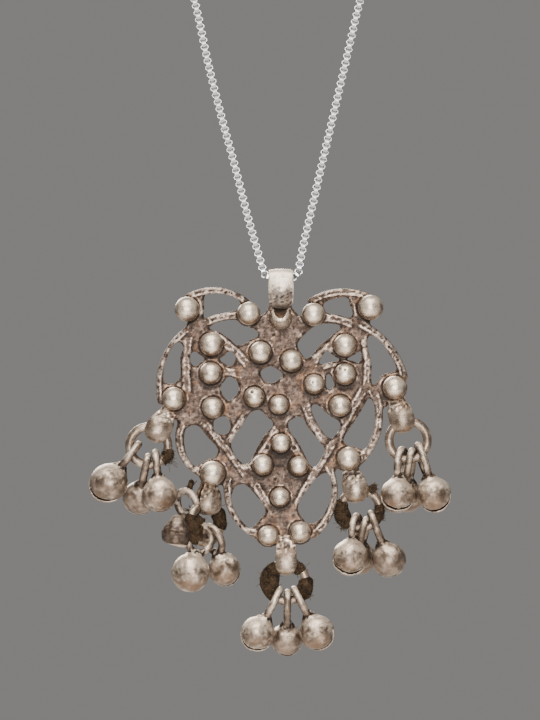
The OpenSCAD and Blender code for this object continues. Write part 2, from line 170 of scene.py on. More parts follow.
# Columns: x, z, radius, radius of the solder seat (0 where it has none)
GRANULES = [Granule(*row) for row in (
    (-16.9, -5.8, 2.25, 0),
    (16.1, -5.5, 2.3, 0),
    (-5.8, -6.6, 2.1, 0),
    (5.85, -6.75, 2.1, 0),
    (-12.5, -12.1, 2.15, 2.55),
    (11.5, -12.3, 2.05, 2.35),
    (-3.7, -13.6, 2.0, 2.45),
    (1.9, -15.1, 2.0, 2.35),
    (-12.65, -17.3, 2.0, 2.4),
    (11.45, -17.5, 1.95, 2.45),
    (5.95, -19.3, 1.8, 2.3),
    (20.4, -19.9, 2.15, 2.4),
    (-19.3, -21.9, 2.1, 2.3),
    (-4.8, -21.6, 1.85, 2.35),
    (-0.4, -23.0, 1.75, 2.4),
    (-12.3, -23.5, 1.95, 2.4),
    (10.6, -23.2, 1.95, 2.5),
    (-0.05, -29.9, 1.75, 2.2),
    (-3.3, -33.8, 1.9, 2.3),
    (3.15, -34.0, 1.8, 2.2),
    (-12.3, -35.3, 2.25, 2.55),
    (12.1, -32.7, 2.1, 2.55),
    (-0.2, -39.6, 1.75, 2.3),
    (-2.3, -46.5, 1.85, 2.2),
    (3.4, -45.9, 1.95, 2.35),
)]
# Pools of solder: how far each runs past its corners, then the corners' x, z
POOLS = [
    (0.75, (-15.3, -7.4), (-16.3, -8.6), (-13.9, -8.6)),
    (0.75, (13.6, -7.5), (15.4, -7.8), (13.6, -9.2)),
    (0.8, (-16.4, -10.2), (-14.0, -9.4), (-14.0, -12.4), (-15.8, -12.6)),
    (0.7, (11.6, -9.7), (15.0, -9.8), (14.8, -12.0), (14.3, -14.6)),
    (1.0, (-16.6, -17.3), (-15.4, -17.3), (-13.6, -19.4), (-12.0, -20.4), (-14.8, -24.9),
     (-17.4, -25.6), (-19.9, -23.9), (-19.6, -20.2), (-16.9, -18.8)),
    (0.9, (-8.3, -17.4), (-6.6, -15.4), (-4.7, -17.3), (-4.7, -19.5), (-7.2, -19.2)),
    (0.9, (-10.2, -24.0), (-7.0, -23.0), (-6.4, -25.0), (-9.2, -25.6)),
    (0.5, (-10.6, -29.0), (-9.0, -29.0), (-9.9, -30.4)),
    (0.3, (-3.5, -7.5), (-2.0, -5.8), (-1.6, -7.6)),
    (0.3, (3.4, -7.5), (1.8, -5.8), (1.4, -7.6)),
    (1.0, (-3.4, -8.0), (3.4, -8.1), (5.4, -9.1), (2.6, -11.2), (0.6, -15.4), (-3.0, -11.4)),
    (0.85, (1.4, -18.2), (3.6, -16.6), (5.4, -16.4), (4.5, -22.6), (0.6, -24.3),
     (-2.4, -20.9), (-2.4, -20.0), (-0.5, -19.5)),
    (1.0, (13.4, -19.4), (14.6, -17.6), (14.6, -20.2), (11.6, -21.2)),
    (0.7, (12.2, -22.4), (12.6, -24.4), (11.4, -24.4)),
    (0.6, (6.2, -21.4), (8.2, -21.6), (8.6, -23.0), (6.4, -22.2)),
    (0.7, (18.0, -18.6), (21.6, -17.8), (18.6, -22.8), (17.2, -20.2)),
    (0.9, (-0.4, -26.1), (0.5, -26.1), (3.6, -33.0), (2.4, -35.6), (-2.4, -35.6), (-3.9, -33.2)),
    (1.0, (-4.8, -36.2), (4.6, -35.8), (1.8, -42.4), (-1.8, -42.4)),
    (0.7, (-11.6, -33.6), (-11.0, -31.9), (-5.6, -36.6), (-9.2, -36.6)),
    (0.8, (8.8, -32.0), (10.6, -30.6), (9.2, -34.4), (7.4, -34.2)),
    (0.8, (-1.8, -42.6), (1.8, -42.4), (4.6, -44.2), (4.2, -47.2), (-3.0, -47.6), (-4.0, -44.8)),
]
# Openings between the wires and the solder: corners' x and z
OPENINGS = [
    ((-13.7, -3.1), (-11.5, -2.9), (-9.5, -3.2), (-8.1, -3.8), (-7.2, -4.5), (-7.7, -5.4),
     (-7.9, -6.1), (-9.5, -6.3), (-11.2, -6.7), (-12.6, -7.0), (-13.8, -7.6), (-14.0, -7.2),
     (-13.8, -5.9), (-13.9, -4.1)),
    ((-18.7, -11.5), (-19.6, -12.6), (-20.3, -14.0), (-20.9, -15.5), (-21.2, -17.1), (-21.2, -19.1),
     (-19.4, -19.3), (-18.5, -18.7), (-18.2, -18.2), (-18.0, -17.3), (-18.2, -14.9), (-18.0, -14.0),
     (-17.6, -13.0), (-17.6, -12.2)),
    ((-13.1, -9.4), (-12.4, -8.5), (-10.8, -7.9), (-8.1, -7.6), (-7.6, -8.1), (-7.0, -8.8),
     (-5.0, -9.2), (-4.1, -9.9), (-4.1, -10.8), (-5.6, -11.3), (-6.7, -12.2), (-7.6, -12.4),
     (-8.3, -12.1), (-9.2, -11.2), (-10.3, -10.4), (-11.5, -9.7)),
    ((-16.4, -14.2), (-16.2, -13.7), (-15.5, -13.3), (-14.8, -13.9), (-13.5, -14.8), (-14.6, -15.5),
     (-15.3, -16.2), (-16.2, -15.8)),
    ((-11.0, -14.6), (-9.9, -14.0), (-9.2, -13.1), (-8.3, -14.0), (-8.1, -14.6), (-8.5, -15.7),
     (-9.4, -16.2), (-9.9, -15.7), (-11.0, -15.1)),
    ((-9.5, -17.8), (-8.8, -18.0), (-7.9, -18.7), (-7.6, -19.6), (-7.6, -20.5), (-7.9, -21.2),
     (-9.0, -22.1), (-9.4, -22.5), (-9.9, -22.0), (-10.6, -21.2), (-10.8, -20.3), (-10.8, -19.4),
     (-10.1, -18.7)),
    ((-3.8, -16.9), (-3.1, -16.6), (-2.2, -16.0), (-1.3, -16.2), (-0.5, -16.7), (0.0, -17.3),
     (0.5, -17.6), (0.2, -18.0), (-0.5, -18.5), (-1.4, -19.1), (-2.3, -19.1), (-2.9, -18.9),
     (-3.6, -17.8)),
    ((7.4, -4.9), (8.3, -4.3), (9.4, -4.0), (10.6, -3.6), (11.7, -3.6), (12.2, -4.0), (12.4, -5.0),
     (12.8, -5.9), (13.0, -6.7), (12.6, -7.2), (11.9, -7.4), (11.0, -7.0), (9.9, -6.7), (8.3, -6.7)),
    ((8.1, -8.3), (10.4, -8.5), (10.8, -9.0), (9.9, -9.9), (8.3, -11.3), (7.0, -12.2), (5.8, -13.9),
     (5.0, -14.6), (4.3, -14.8), (3.8, -13.9), (3.1, -13.0), (2.9, -12.1), (3.4, -11.2), (4.9, -9.7),
     (6.1, -8.8)),
    ((8.3, -13.1), (7.9, -13.5), (7.4, -14.4), (6.7, -15.3), (7.2, -15.8), (9.2, -15.3), (11.7, -14.9),
     (13.1, -15.1), (14.0, -15.7), (14.6, -14.4), (14.4, -13.1), (13.7, -13.7), (12.6, -14.4),
     (11.3, -14.8), (10.1, -14.6), (9.2, -14.0)),
    ((8.1, -17.6), (8.8, -17.3), (9.4, -18.7), (9.7, -19.4), (9.5, -19.8), (8.8, -20.2), (8.1, -20.2)),
    ((15.7, -10.3), (17.1, -10.8), (18.4, -12.1), (19.4, -13.7), (20.5, -15.5), (20.9, -16.6),
     (20.5, -17.1), (19.3, -17.3), (18.4, -17.5), (17.6, -18.4), (17.1, -19.4), (16.4, -19.4),
     (16.2, -18.5), (16.4, -15.8), (16.0, -14.2), (15.5, -12.4)),
    ((-17.3, -27.5), (-16.7, -27.0), (-15.7, -26.6), (-14.8, -26.8), (-14.2, -27.5), (-13.5, -28.4),
     (-12.8, -29.3), (-11.9, -30.1), (-11.3, -31.0), (-11.3, -31.5), (-11.7, -32.2), (-12.2, -32.6),
     (-13.1, -32.8), (-13.9, -33.3), (-14.8, -33.8), (-15.3, -34.4), (-16.4, -33.1), (-16.9, -32.2),
     (-17.3, -31.0), (-17.5, -29.3)),
    ((-12.2, -25.9), (-11.0, -25.2), (-10.1, -25.0), (-9.4, -25.6), (-9.0, -26.6), (-9.2, -27.5),
     (-9.5, -28.3), (-11.5, -28.3), (-12.2, -27.5), (-12.1, -26.6)),
    ((-4.3, -23.9), (-3.4, -24.1), (-2.5, -25.2), (-1.6, -25.9), (-1.3, -26.6), (-2.0, -27.5),
     (-3.2, -28.8), (-4.1, -30.4), (-4.9, -32.0), (-5.6, -33.3), (-6.1, -33.7), (-6.8, -33.7),
     (-7.7, -32.9), (-8.5, -31.7), (-9.0, -30.4), (-9.0, -29.7), (-8.1, -28.3), (-6.8, -26.5),
     (-6.1, -25.2), (-5.4, -24.3)),
    ((2.3, -25.4), (3.4, -25.0), (4.3, -25.7), (4.5, -26.6), (5.4, -27.7), (6.3, -28.8), (7.4, -30.2),
     (8.1, -31.1), (7.6, -32.0), (6.7, -33.7), (6.1, -34.2), (5.4, -34.2), (4.9, -33.3), (4.1, -31.7),
     (3.1, -29.7), (1.8, -28.1), (1.3, -27.2), (1.3, -26.1)),
    ((5.4, -23.0), (6.3, -22.9), (7.2, -23.4), (8.1, -24.5), (9.4, -25.4), (10.4, -25.9),
     (10.8, -26.6), (10.4, -27.7), (9.7, -28.6), (9.2, -29.2), (8.3, -28.8), (7.2, -27.5),
     (6.3, -25.9), (5.6, -24.5)),
    ((15.8, -21.6), (16.7, -22.5), (16.9, -23.9), (16.9, -25.9), (16.6, -27.9), (15.8, -29.9),
     (15.3, -31.0), (14.2, -31.0), (13.3, -30.6), (12.1, -30.4), (11.2, -29.9), (11.3, -28.8),
     (12.2, -27.5), (13.3, -25.9), (14.2, -24.5), (15.3, -22.5)),
    ((-8.8, -38.7), (-8.1, -37.6), (-7.4, -37.3), (-6.5, -37.3), (-5.6, -38.0), (-4.7, -39.1),
     (-3.8, -40.1), (-2.9, -41.4), (-2.7, -42.5), (-3.8, -43.7), (-4.7, -44.6), (-5.2, -45.2),
     (-5.8, -45.2), (-6.5, -44.6), (-7.4, -43.6), (-8.1, -42.3), (-8.6, -41.4), (-9.0, -40.1)),
    ((2.9, -42.1), (3.2, -40.5), (4.3, -38.9), (5.4, -37.3), (6.5, -36.0), (7.6, -35.3), (8.5, -35.3),
     (9.0, -36.4), (9.2, -38.2), (9.0, -40.0), (8.3, -41.6), (7.4, -43.4), (5.8, -44.5), (4.5, -44.3)),
]
# Pits in the plate. Columns: x, z, radius, depth
PLATE_PITS = [
    (-10.0, -2.9, 0.4, 0.3), (-8.9, -3.0, 0.25, 0.25), (-12.6, -2.6, 0.25, 0.2), (-1.3, -10.4, 0.3, 0.25),
    (-1.0, -36.4, 0.3, 0.3), (-4.3, -37.6, 0.3, 0.3), (-0.9, -37.8, 0.25, 0.25), (-8.8, -42.8, 0.3, 0.3),
    (-8.1, -43.9, 0.3, 0.3), (-7.4, -45.0, 0.3, 0.3), (-2.4, -30.7, 0.5, 0.2), (2.3, -30.8, 0.5, 0.2),
    (-19.8, -16.2, 0.25, 0.25), (19.4, -12.6, 0.3, 0.25), (20.3, -14.4, 0.25, 0.25), (17.2, -9.6, 0.3, 0.25),
]
# The three middle granules' space, which lies deeper, and the painted shadow under the eye
TRIANGLE = ((0.0, -28.0), (-4.6, -34.8), (4.4, -34.8))
painted_shadow_under_eye = (0, -9.6)
# The ring of solder that stands round each granule: how far off the granule, how wide
collar_away = 0.42
collar_width = 0.2
# Further than any wear reaches
far = 9.0
upright = Matrix.Rotation(pi / 2, 4, "X")
Arc = namedtuple("Arc", "centre r turn")


def ends_of(wire):
    """The start and the end of a wire's middle line."""
    return Vector((wire.x, 0, wire.z)), Vector((wire.end_x, 0, wire.end_z))


def arc_of(wire):
    """Centre, radius and turn about +Y of a wire's arc, or None where it is nearly straight."""
    if abs(wire.rise) < least_rise:
        return None
    start, end = ends_of(wire)
    half = (end - start).length / 2
    u = (end - start).normalized()
    side = Vector((-u.z, 0, u.x))
    half_angle = 2 * atan(wire.rise / half)
    centre = (start + end) / 2 + side * (wire.rise - half / sin(half_angle))
    return Arc(centre, abs(half / sin(half_angle)), 2 * half_angle)


def with_edges(face):
    """A face, its edges and its corners, for the operators that take all three."""
    return [face, *face.edges, *face.verts]


def draw_out(bm, face, way):
    """Draws a flat face out into a bar or a slab."""
    drawn = bmesh.ops.extrude_face_region(bm, geom=with_edges(face), use_keep_orig=True)
    corners = [part for part in drawn["geom"] if isinstance(part, bmesh.types.BMVert)]
    bmesh.ops.translate(bm, vec=way, verts=corners)


def add_wire(bm, wire):
    """A flat wire: its section stands at the start and is spun or drawn to the end."""
    start, end = ends_of(wire)
    way = end - start
    arc = arc_of(wire)
    across = (start - arc.centre if arc else Vector((-way.z, 0, way.x))).normalized()
    c = wire_bevel
    corners = [(-1, -c), (-c, -1), (c, -1), (1, -c), (1, c), (c, 1), (-c, 1), (-1, c)]
    section = bm.faces.new([
        bm.verts.new(start + across * (wire.width / 2 * a) + Vector((0, plate_t / 2 * b, 0)))
        for a, b in corners])
    if arc:
        bmesh.ops.spin(
            bm, geom=with_edges(section), cent=arc.centre, axis=(0, 1, 0), dvec=(0, 0, 0),
            angle=arc.turn, steps=arc_steps, use_duplicate=False)
    else:
        draw_out(bm, section, way)


def add_disc(bm, x, z, r):
    """A disc of solder as thick as the plate."""
    bmesh.ops.create_cone(
        bm, cap_ends=True, segments=28, radius1=r, radius2=r, depth=plate_t,
        matrix=Matrix.Translation((x, 0, z)) @ upright)


def level(*corners):
    """Corners on the plate's middle plane, from their x and z."""
    return [Vector((x, 0, z)) for x, z in corners]


def sides(corners):
    """Each corner of an outline with the next."""
    return zip(corners, corners[1:] + corners[:1])


def add_slab(bm, corners, thickness=plate_t):
    """A flat slab with the given outline, its middle on the plate's middle plane."""
    face = bm.faces.new([bm.verts.new(c + Vector((0, -thickness / 2, 0))) for c in corners])
    draw_out(bm, face, (0, thickness, 0))


def add_pool(bm, reach, *corners):
    """A pool of solder: its middle, a bar along each side and a disc at each corner."""
    add_slab(bm, level(*corners))
    for here, there in sides(level(*corners)):
        along = there - here
        add_disc(bm, here.x, here.z, reach)
        bmesh.ops.create_cube(
            bm, size=1, matrix=Matrix.Translation((here + there) / 2)
            @ Matrix.Rotation(-atan2(along.z, along.x), 4, "Y")
            @ Matrix.Diagonal((along.length, plate_t, 2 * reach, 1)))


def along_wire(wire):
    """Points along the middle of a wire, from its start to its end."""
    start, end = ends_of(wire)
    arc = arc_of(wire)
    places = [i / outline_steps for i in range(outline_steps + 1)]
    if not arc:
        return [start.lerp(end, s) for s in places]
    return [arc.centre + Matrix.Rotation(arc.turn * s, 3, "Y") @ (start - arc.centre) for s in places]


def rounded(corners):
    """An outline with its corners cut twice, which rounds them."""
    points = level(*corners)
    for _ in range(2):
        points = [
            q for here, there in sides(points)
            for q in (here.lerp(there, 0.25), here.lerp(there, 0.75))]
    return points


def worked_in(draft):
    """A draft's mesh with its modifiers or its bevel worked in; the draft itself goes."""
    bpy.context.collection.objects.link(draft)
    mesh = bpy.data.meshes.new_from_object(
        draft.evaluated_get(bpy.context.evaluated_depsgraph_get()))
    bpy.data.objects.remove(draft)
    return mesh


def settled(name, bm, *modifiers):
    """A new piece from a bmesh, its modifiers worked in, still in the pendant's millimetres."""
    bmesh.ops.recalc_face_normals(bm, faces=bm.faces)
    draft = bpy.data.objects.new(name + "_draft", bpy.data.meshes.new(name + "_draft"))
    bm.to_mesh(draft.data)
    bm.free()
    for kind, settings in modifiers:
        modifier = draft.modifiers.new(kind.lower(), kind)
        for key, value in settings.items():
            setattr(modifier, key, value)
    mesh = worked_in(draft)
    mesh.name = name
    mesh.shade_smooth()
    piece = bpy.data.objects.new(name, mesh)
    bpy.context.collection.objects.link(piece)
    return piece


def skin(voxel_size, rounds):
    """Modifiers that wrap a piece's parts in one closed skin and smooth it."""
    return (
        ("REMESH", {"mode": "VOXEL", "voxel_size": voxel_size}),
        ("SMOOTH", {"factor": 0.5, "iterations": rounds}))


def cut_by(tool):
    """A modifier that cuts a tool's shape out of a piece."""
    return "BOOLEAN", {"operation": "DIFFERENCE", "object": tool, "solver": "EXACT"}


def dress(piece, material, origin=PLATE_AT):
    """Gives a piece its material and moves it from its own millimetres to the shared metres."""
    piece.data.materials.append(material)
    piece.data.transform(Matrix.Scale(0.001, 4) @ Matrix.Translation(origin))


def surface_of(piece):
    """A piece's points and their normals, a row of x, y and z for each."""
    points, normals = np.empty((2, len(piece.data.vertices) * 3))
    piece.data.vertices.foreach_get("co", points)
    piece.data.vertex_normals.foreach_get("vector", normals)
    return points.reshape(-1, 3), normals.reshape(-1, 3)


def set_points(piece, points):
    """Moves a piece's points to the given places."""
    piece.data.vertices.foreach_set("co", points.ravel())
    piece.data.update()


def set_tone(piece, domain="POINT", **tones):
    """Attributes that the materials read, such as rim, cavity and stain, from 0 to 1."""
    for name, values in tones.items():
        layer = piece.data.attributes.new(name, "FLOAT", domain)
        layer.data.foreach_set("value", np.clip(values, 0, 1).astype(np.float32))


def smooth_step(low, high, x):
    """Rises smoothly from 0 at low to 1 at high."""
    t = np.clip((x - low) / (high - low), 0, 1)
    return t * t * (3 - 2 * t)


def fade(low, high, x):
    """Falls smoothly from 1 at low to 0 at high."""
    return 1 - smooth_step(low, high, x)


def speckle(points, size, seed, detail=3):
    """Fractal noise at each point, roughly from -1 to 1."""
    move = Vector((seed * 7.31, seed * 3.17, seed * 1.93))
    return np.array([
        noise.fractal(Vector(p) / size + move, 1.0, 2.0, detail) for p in points])


def away_from(points, x, z):
    """How far each point is from x, z, seen from the front."""
    return np.hypot(points[:, 0] - x, points[:, -1] - z)


def hollows(piece, rounds):
    """How far each point lies under the mean of its surroundings, in millimetres."""
    points, normals = surface_of(piece)
    ends = np.empty(len(piece.data.edges) * 2, dtype=np.int64)
    piece.data.edges.foreach_get("vertices", ends)
    a, b = ends.reshape(-1, 2).T
    count = np.bincount(a, minlength=len(points)) + np.bincount(b, minlength=len(points))
    mean = points.copy()
    for _ in range(rounds):
        total = np.zeros_like(mean)
        np.add.at(total, a, mean[b])
        np.add.at(total, b, mean[a])
        mean = total / count[:, None]
    return np.einsum("ij,ij->i", mean - points, normals)


def worn_wires(flat):
    """For each x and z, from 0 to 1: how far a wire stands up there, its groove, and the rims
    beside the groove."""
    raised, groove, rims = np.zeros((3, len(flat)))
    for wire in WIRES:
        start, end = np.array((wire.x, wire.z)), np.array((wire.end_x, wire.end_z))
        length = np.linalg.norm(end - start)
        u = (end - start) / length
        along = (flat - start) @ u
        arc = arc_of(wire)
        if arc:
            off = np.abs(away_from(flat, arc.centre.x, arc.centre.z) - arc.r)
            off[away_from(flat, *(start + end) / 2) > length] = far
        else:
            off = np.abs((flat - start) @ np.array((-u[1], u[0])))
        # From here on, 0 is the wire's middle and 1 its edge.
        off = off / (wire.width / 2)
        fading = smooth_step(0.0, 1.4, np.minimum(along, length - along))
        lift = fading * fade(0.7, 1.3, off)
        rim = fading * smooth_step(0.45, 0.75, off) * fade(0.95, 1.25, off)
        higher = lift > raised
        raised = np.where(higher, lift, raised)
        groove = np.where(higher, fading * fade(0.1, 0.6, off) * wire.wear, groove)
        rims = np.where(higher, rim * (0.3 + 0.7 * wire.wear), rims)
    return raised, groove, rims


plate_bm = bmesh.new()
for wire in WIRES:
    add_wire(plate_bm, wire)
for pool in POOLS:
    add_pool(plate_bm, *pool)
for ball in GRANULES:
    if ball.seat_r:
        add_disc(plate_bm, ball.x, ball.z, ball.seat_r)
# All round the plate, along its outer wires; the openings are then cut through.
add_slab(plate_bm, (
    along_wire(crown_left) + level((-5.8, -6.6), (-2.6, -7.2), (2.6, -7.2), (5.8, -6.7))
    + along_wire(crown_right) + level((16.1, -5.5))
    + along_wire(outer_right) + level((18.4, -20.4))
    + along_wire(lower_right) + level((10.4, -33.4))
    + along_wire(foot_right) + level((3.4, -46.4), (-2.3, -46.8))
    + along_wire(foot_left)[::-1] + level((-11.5, -36.0))
    + along_wire(lower_left)[::-1] + level((-19.3, -22.6))
    + along_wire(outer_left) + level((-16.9, -5.8))))
opening_bm = bmesh.new()
for corners in OPENINGS:
    add_slab(opening_bm, rounded(corners), 4 * plate_t)
openings = settled("openings", opening_bm)
plate = settled(
    "openwork_plate", plate_bm, ("REMESH", {"mode": "VOXEL", "voxel_size": rough_voxel}),
    cut_by(openings), *skin(plate_voxel, 4))
bpy.data.objects.remove(openings)

plate_points, plate_normals = surface_of(plate)
flat = plate_points[:, [0, 2]]
flat_side = smooth_step(0.35, 0.8, np.abs(plate_normals[:, 1]))
front = smooth_step(0.0, 0.5, -plate_normals[:, 1])
walls = [i for i in range(len(flat)) if abs(plate_normals[i, 1]) < 0.5]
wall_tree = kdtree.KDTree(len(walls))
for i in walls:
    wall_tree.insert((flat[i, 0], 0, flat[i, 1]), i)
wall_tree.balance()
from_edge = np.array([wall_tree.find((x, 0, z))[2] for x, z in flat])
at_edge = fade(0.05, 0.5, from_edge)
# Grain, lumps and pits of the old metal, and where the bright rims are broken
lumps = speckle(plate_points, 1.5, seed=1)
grain = speckle(plate_points, 0.45, seed=2)
swirl = speckle(plate_points * np.array((1, 1, 2.2)), 0.9, seed=4, detail=2)
pits = smooth_step(0.46, 0.66, speckle(plate_points, 0.42, seed=3, detail=2))
broken = 0.4 + 0.6 * smooth_step(-0.35, 0.3, speckle(plate_points, 0.7, seed=14, detail=2))
on_wire, in_groove, on_rim = worn_wires(flat)
in_groove *= 0.35 + 0.65 * smooth_step(-0.3, 0.3, swirl)
web = 1 - on_wire
# Round each granule: how far off its edge, and how far down round it from its side to its foot
from_ball = np.full(len(flat), far)
under_ball = np.zeros(len(flat))
for ball in GRANULES:
    away = away_from(flat, ball.x, ball.z) - ball.r
    nearer = away < from_ball
    from_ball[nearer] = away[nearer]
    under_ball[nearer] = ((ball.z - flat[:, 1]) / (away + ball.r + 0.001))[nearer]
collar = np.exp(-((from_ball - collar_away) / collar_width) ** 2)
foot = fade(0.0, 0.3, from_ball)
shadow = fade(0.2, 0.8 + 0.75 * np.clip(under_ball, 0, 1), from_ball)
dug = np.zeros(len(flat))
for x, z, r, depth in PLATE_PITS:
    dug = np.maximum(dug, depth * fade(0.4 * r, r, away_from(flat, x, z)))
inside = np.full(len(flat), far)
for here, there in sides([np.array(corner) for corner in TRIANGLE]):
    u = (there - here) / np.linalg.norm(there - here)
    inside = np.minimum(inside, (flat - here) @ np.array((-u[1], u[0])))
deep = smooth_step(0.2, 0.9, inside) * (plate_normals[:, 1] < 0)

rise = 0.30 * on_wire - 0.17 * in_groove + web * (0.10 * lumps + 0.06 * swirl) + 0.04 * grain
rise += 0.08 * collar - 0.10 * foot - 0.22 * at_edge ** 2
rise -= 0.12 * pits * (0.4 + in_groove) + dug + 0.32 * deep
set_points(plate, plate_points + plate_normals * (rise * flat_side + 0.015 * grain)[:, None])
sunk_in = hollows(plate, 5)
# Painted light: the upper side of each granule's collar is painted lighter as a painted highlight, and a
# painted shadow falls round each granule, deeper below it, and under the eye.
set_tone(
    plate,
    rim=0.74 * on_rim * flat_side * broken + 0.08 * on_wire + 0.24 * on_wire * grain
    + np.clip(-sunk_in * 9, 0, 0.6) * (0.4 + 0.6 * broken) + 0.20 * at_edge * flat_side * broken
    + 0.06 * collar * (under_ball < 0) + 0.20 * lumps,
    cavity=0.55 * in_groove * flat_side + np.clip(sunk_in * 12, 0, 1) + 1.6 * dug
    + (0.5 + 0.4 * in_groove) * pits * flat_side
    + front * shadow * (0.15 + 0.60 * smooth_step(-0.3, 0.8, under_ball))
    + 0.42 * deep + 0.22 * web * (swirl + 0.2) + 0.45 * fade(0.3, 1.6, away_from(flat, *painted_shadow_under_eye)),
    stain=0.55 * web * smooth_step(-0.1, 0.5, lumps) + 0.6 * fade(0.2, 1.3, from_ball))


def new_finish(name):
    """A new material with its node tree and its shader."""
    material = bpy.data.materials.new(name)
    material.use_nodes = True
    return material, material.node_tree, material.node_tree.nodes["Principled BSDF"]


def put(tree, source, target):
    """Links a socket, or sets a plain value."""
    if isinstance(source, bpy.types.NodeSocket):
        tree.links.new(source, target)
    else:
        target.default_value = source


def tone(tree, name):
    """One of the attributes that set_tone keeps on the mesh."""
    layer = tree.nodes.new("ShaderNodeAttribute")
    layer.attribute_name = name
    return layer.outputs["Fac"]


def cloud(tree, scale, detail=4.0, roughness=0.55, shift=(0, 0, 0), stretch=(1, 1, 1)):
    """Noise on the object's own coordinates, about 1 / scale metres coarse."""
    place = tree.nodes.new("ShaderNodeTexCoord")
    mapping = tree.nodes.new("ShaderNodeMapping")
    mapping.inputs["Location"].default_value = shift
    mapping.inputs["Scale"].default_value = stretch
    noise_node = tree.nodes.new("ShaderNodeTexNoise")
    noise_node.inputs["Scale"].default_value = scale
    noise_node.inputs["Detail"].default_value = detail
    noise_node.inputs["Roughness"].default_value = roughness
    tree.links.new(place.outputs["Object"], mapping.inputs["Vector"])
    tree.links.new(mapping.outputs["Vector"], noise_node.inputs["Vector"])
    return noise_node.outputs["Fac"]


def spread(tree, value, low, high, to_low=0.0, to_high=1.0):
    """Spreads a value between low and high smoothly over another range."""
    node = tree.nodes.new("ShaderNodeMapRange")
    node.interpolation_type = "SMOOTHSTEP"
    put(tree, value, node.inputs["Value"])
    for key, number in (("From Min", low), ("From Max", high), ("To Min", to_low), ("To Max", to_high)):
        node.inputs[key].default_value = number
    return node.outputs["Result"]


def sums(tree, kind, a, b):
    """One sum, such as ADD or MULTIPLY, of two sockets or plain numbers."""
    node = tree.nodes.new("ShaderNodeMath")
    node.operation = kind
    put(tree, a, node.inputs[0])
    put(tree, b, node.inputs[1])
    return node.outputs["Value"]


def add(tree, total, *others):
    """Sockets and plain numbers added up."""
    for value in others:
        total = sums(tree, "ADD", total, value)
    return total


def times(tree, a, b):
    """Two sockets or plain numbers multiplied."""
    return sums(tree, "MULTIPLY", a, b)


def swing(tree, value, gain):
    """A noise's swing about its middle."""
    return times(tree, add(tree, value, -0.5), gain)


def blend_colours(tree, amount, one, other):
    """From one colour to the other; a Mix node's colours are its sockets 6 and 7, and 2 outside."""
    node = tree.nodes.new("ShaderNodeMix")
    node.data_type = "RGBA"
    put(tree, amount, node.inputs[0])
    put(tree, one, node.inputs[6])
    put(tree, other, node.inputs[7])
    return node.outputs[2]


def dent_and_grain(tree, shader, height, depth):
    """Bumps of a depth in metres, from a height between 0 and 1."""
    bump = tree.nodes.new("ShaderNodeBump")
    bump.inputs["Strength"].default_value = 1.0
    bump.inputs["Distance"].default_value = depth
    tree.links.new(height, bump.inputs["Height"])
    tree.links.new(bump.outputs["Normal"], shader.inputs["Normal"])


def old_silver(name, bright, worn, grey, brown, tan, mottle_scale, wear, gloss, metal=0.9):
    """Silver worn bright on rims and lighter where a painted highlight is set, grey-brown elsewhere,
    dark brown in hollows and where painted shade is set, tan in places.
    """
    material, tree, shader = new_finish(name)
    mottle = cloud(tree, mottle_scale, detail=6)
    patches = cloud(tree, mottle_scale * 0.35, detail=3, shift=(0.3, 0.1, 0.2))
    fine = cloud(tree, 3800, detail=3, roughness=0.6)
    scuffs = cloud(tree, 1500, roughness=0.6, shift=(0.1, 0.4, 0), stretch=(0.35, 1, 1.6))
    dots = cloud(tree, 2400, detail=2, roughness=0.5, shift=(0.7, 0.2, 0.5))
    dots = spread(tree, dots, 0.60, 0.72)
    rim, cavity, stain = tone(tree, "rim"), tone(tree, "cavity"), tone(tree, "stain")
    base = blend_colours(tree, spread(tree, mottle, 0.36, 0.64), grey, worn)
    worn_and_lit_here = add(tree, rim, swing(tree, mottle, 0.9), swing(tree, fine, 0.45), wear)
    base = blend_colours(tree, spread(tree, worn_and_lit_here, 0.15, 0.85), base, bright)
    stained = times(tree, stain, spread(tree, patches, 0.42, 0.62))
    base = blend_colours(tree, times(tree, stained, 0.8), base, tan)
    dark = add(tree, cavity, swing(tree, fine, 0.65), times(tree, dots, 0.30))
    base = blend_colours(tree, spread(tree, dark, 0.22, 0.95), base, brown)
    tree.links.new(base, shader.inputs["Base Color"])
    rough = add(tree, spread(tree, scuffs, 0.3, 0.7, gloss, gloss + 0.16), times(tree, cavity, 0.35))
    tree.links.new(rough, shader.inputs["Roughness"])
    tree.links.new(spread(tree, dark, 0.2, 0.9, metal, 0.25), shader.inputs["Metallic"])
    height = add(tree, times(tree, fine, 0.6), mottle, times(tree, scuffs, 0.4))
    dent_and_grain(tree, shader, height, 0.00005)
    return material


plate_silver = old_silver(
    "plate_silver", bright=(0.62, 0.505, 0.425, 1), worn=(0.132, 0.093, 0.074, 1),
    grey=(0.056, 0.037, 0.029, 1), brown=(0.024, 0.0145, 0.0095, 1), tan=(0.21, 0.115, 0.062, 1),
    mottle_scale=1250, wear=-0.16, gloss=0.31, metal=0.85)
dress(plate, plate_silver)
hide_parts("openwork")
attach(plate, "pendant")

# Granules: small cast balls of silver, each set in a ring of solder and soldered to the plate.
# They are worn and rubbed bright on the crown and brown with old solder round the foot. Their tops
# are painted lighter as a painted highlight, their undersides and their edges seen from the front
# are painted darker as painted shade, and their undersides are tan.
granule_y = -1.35
plate_face_y = 0.1
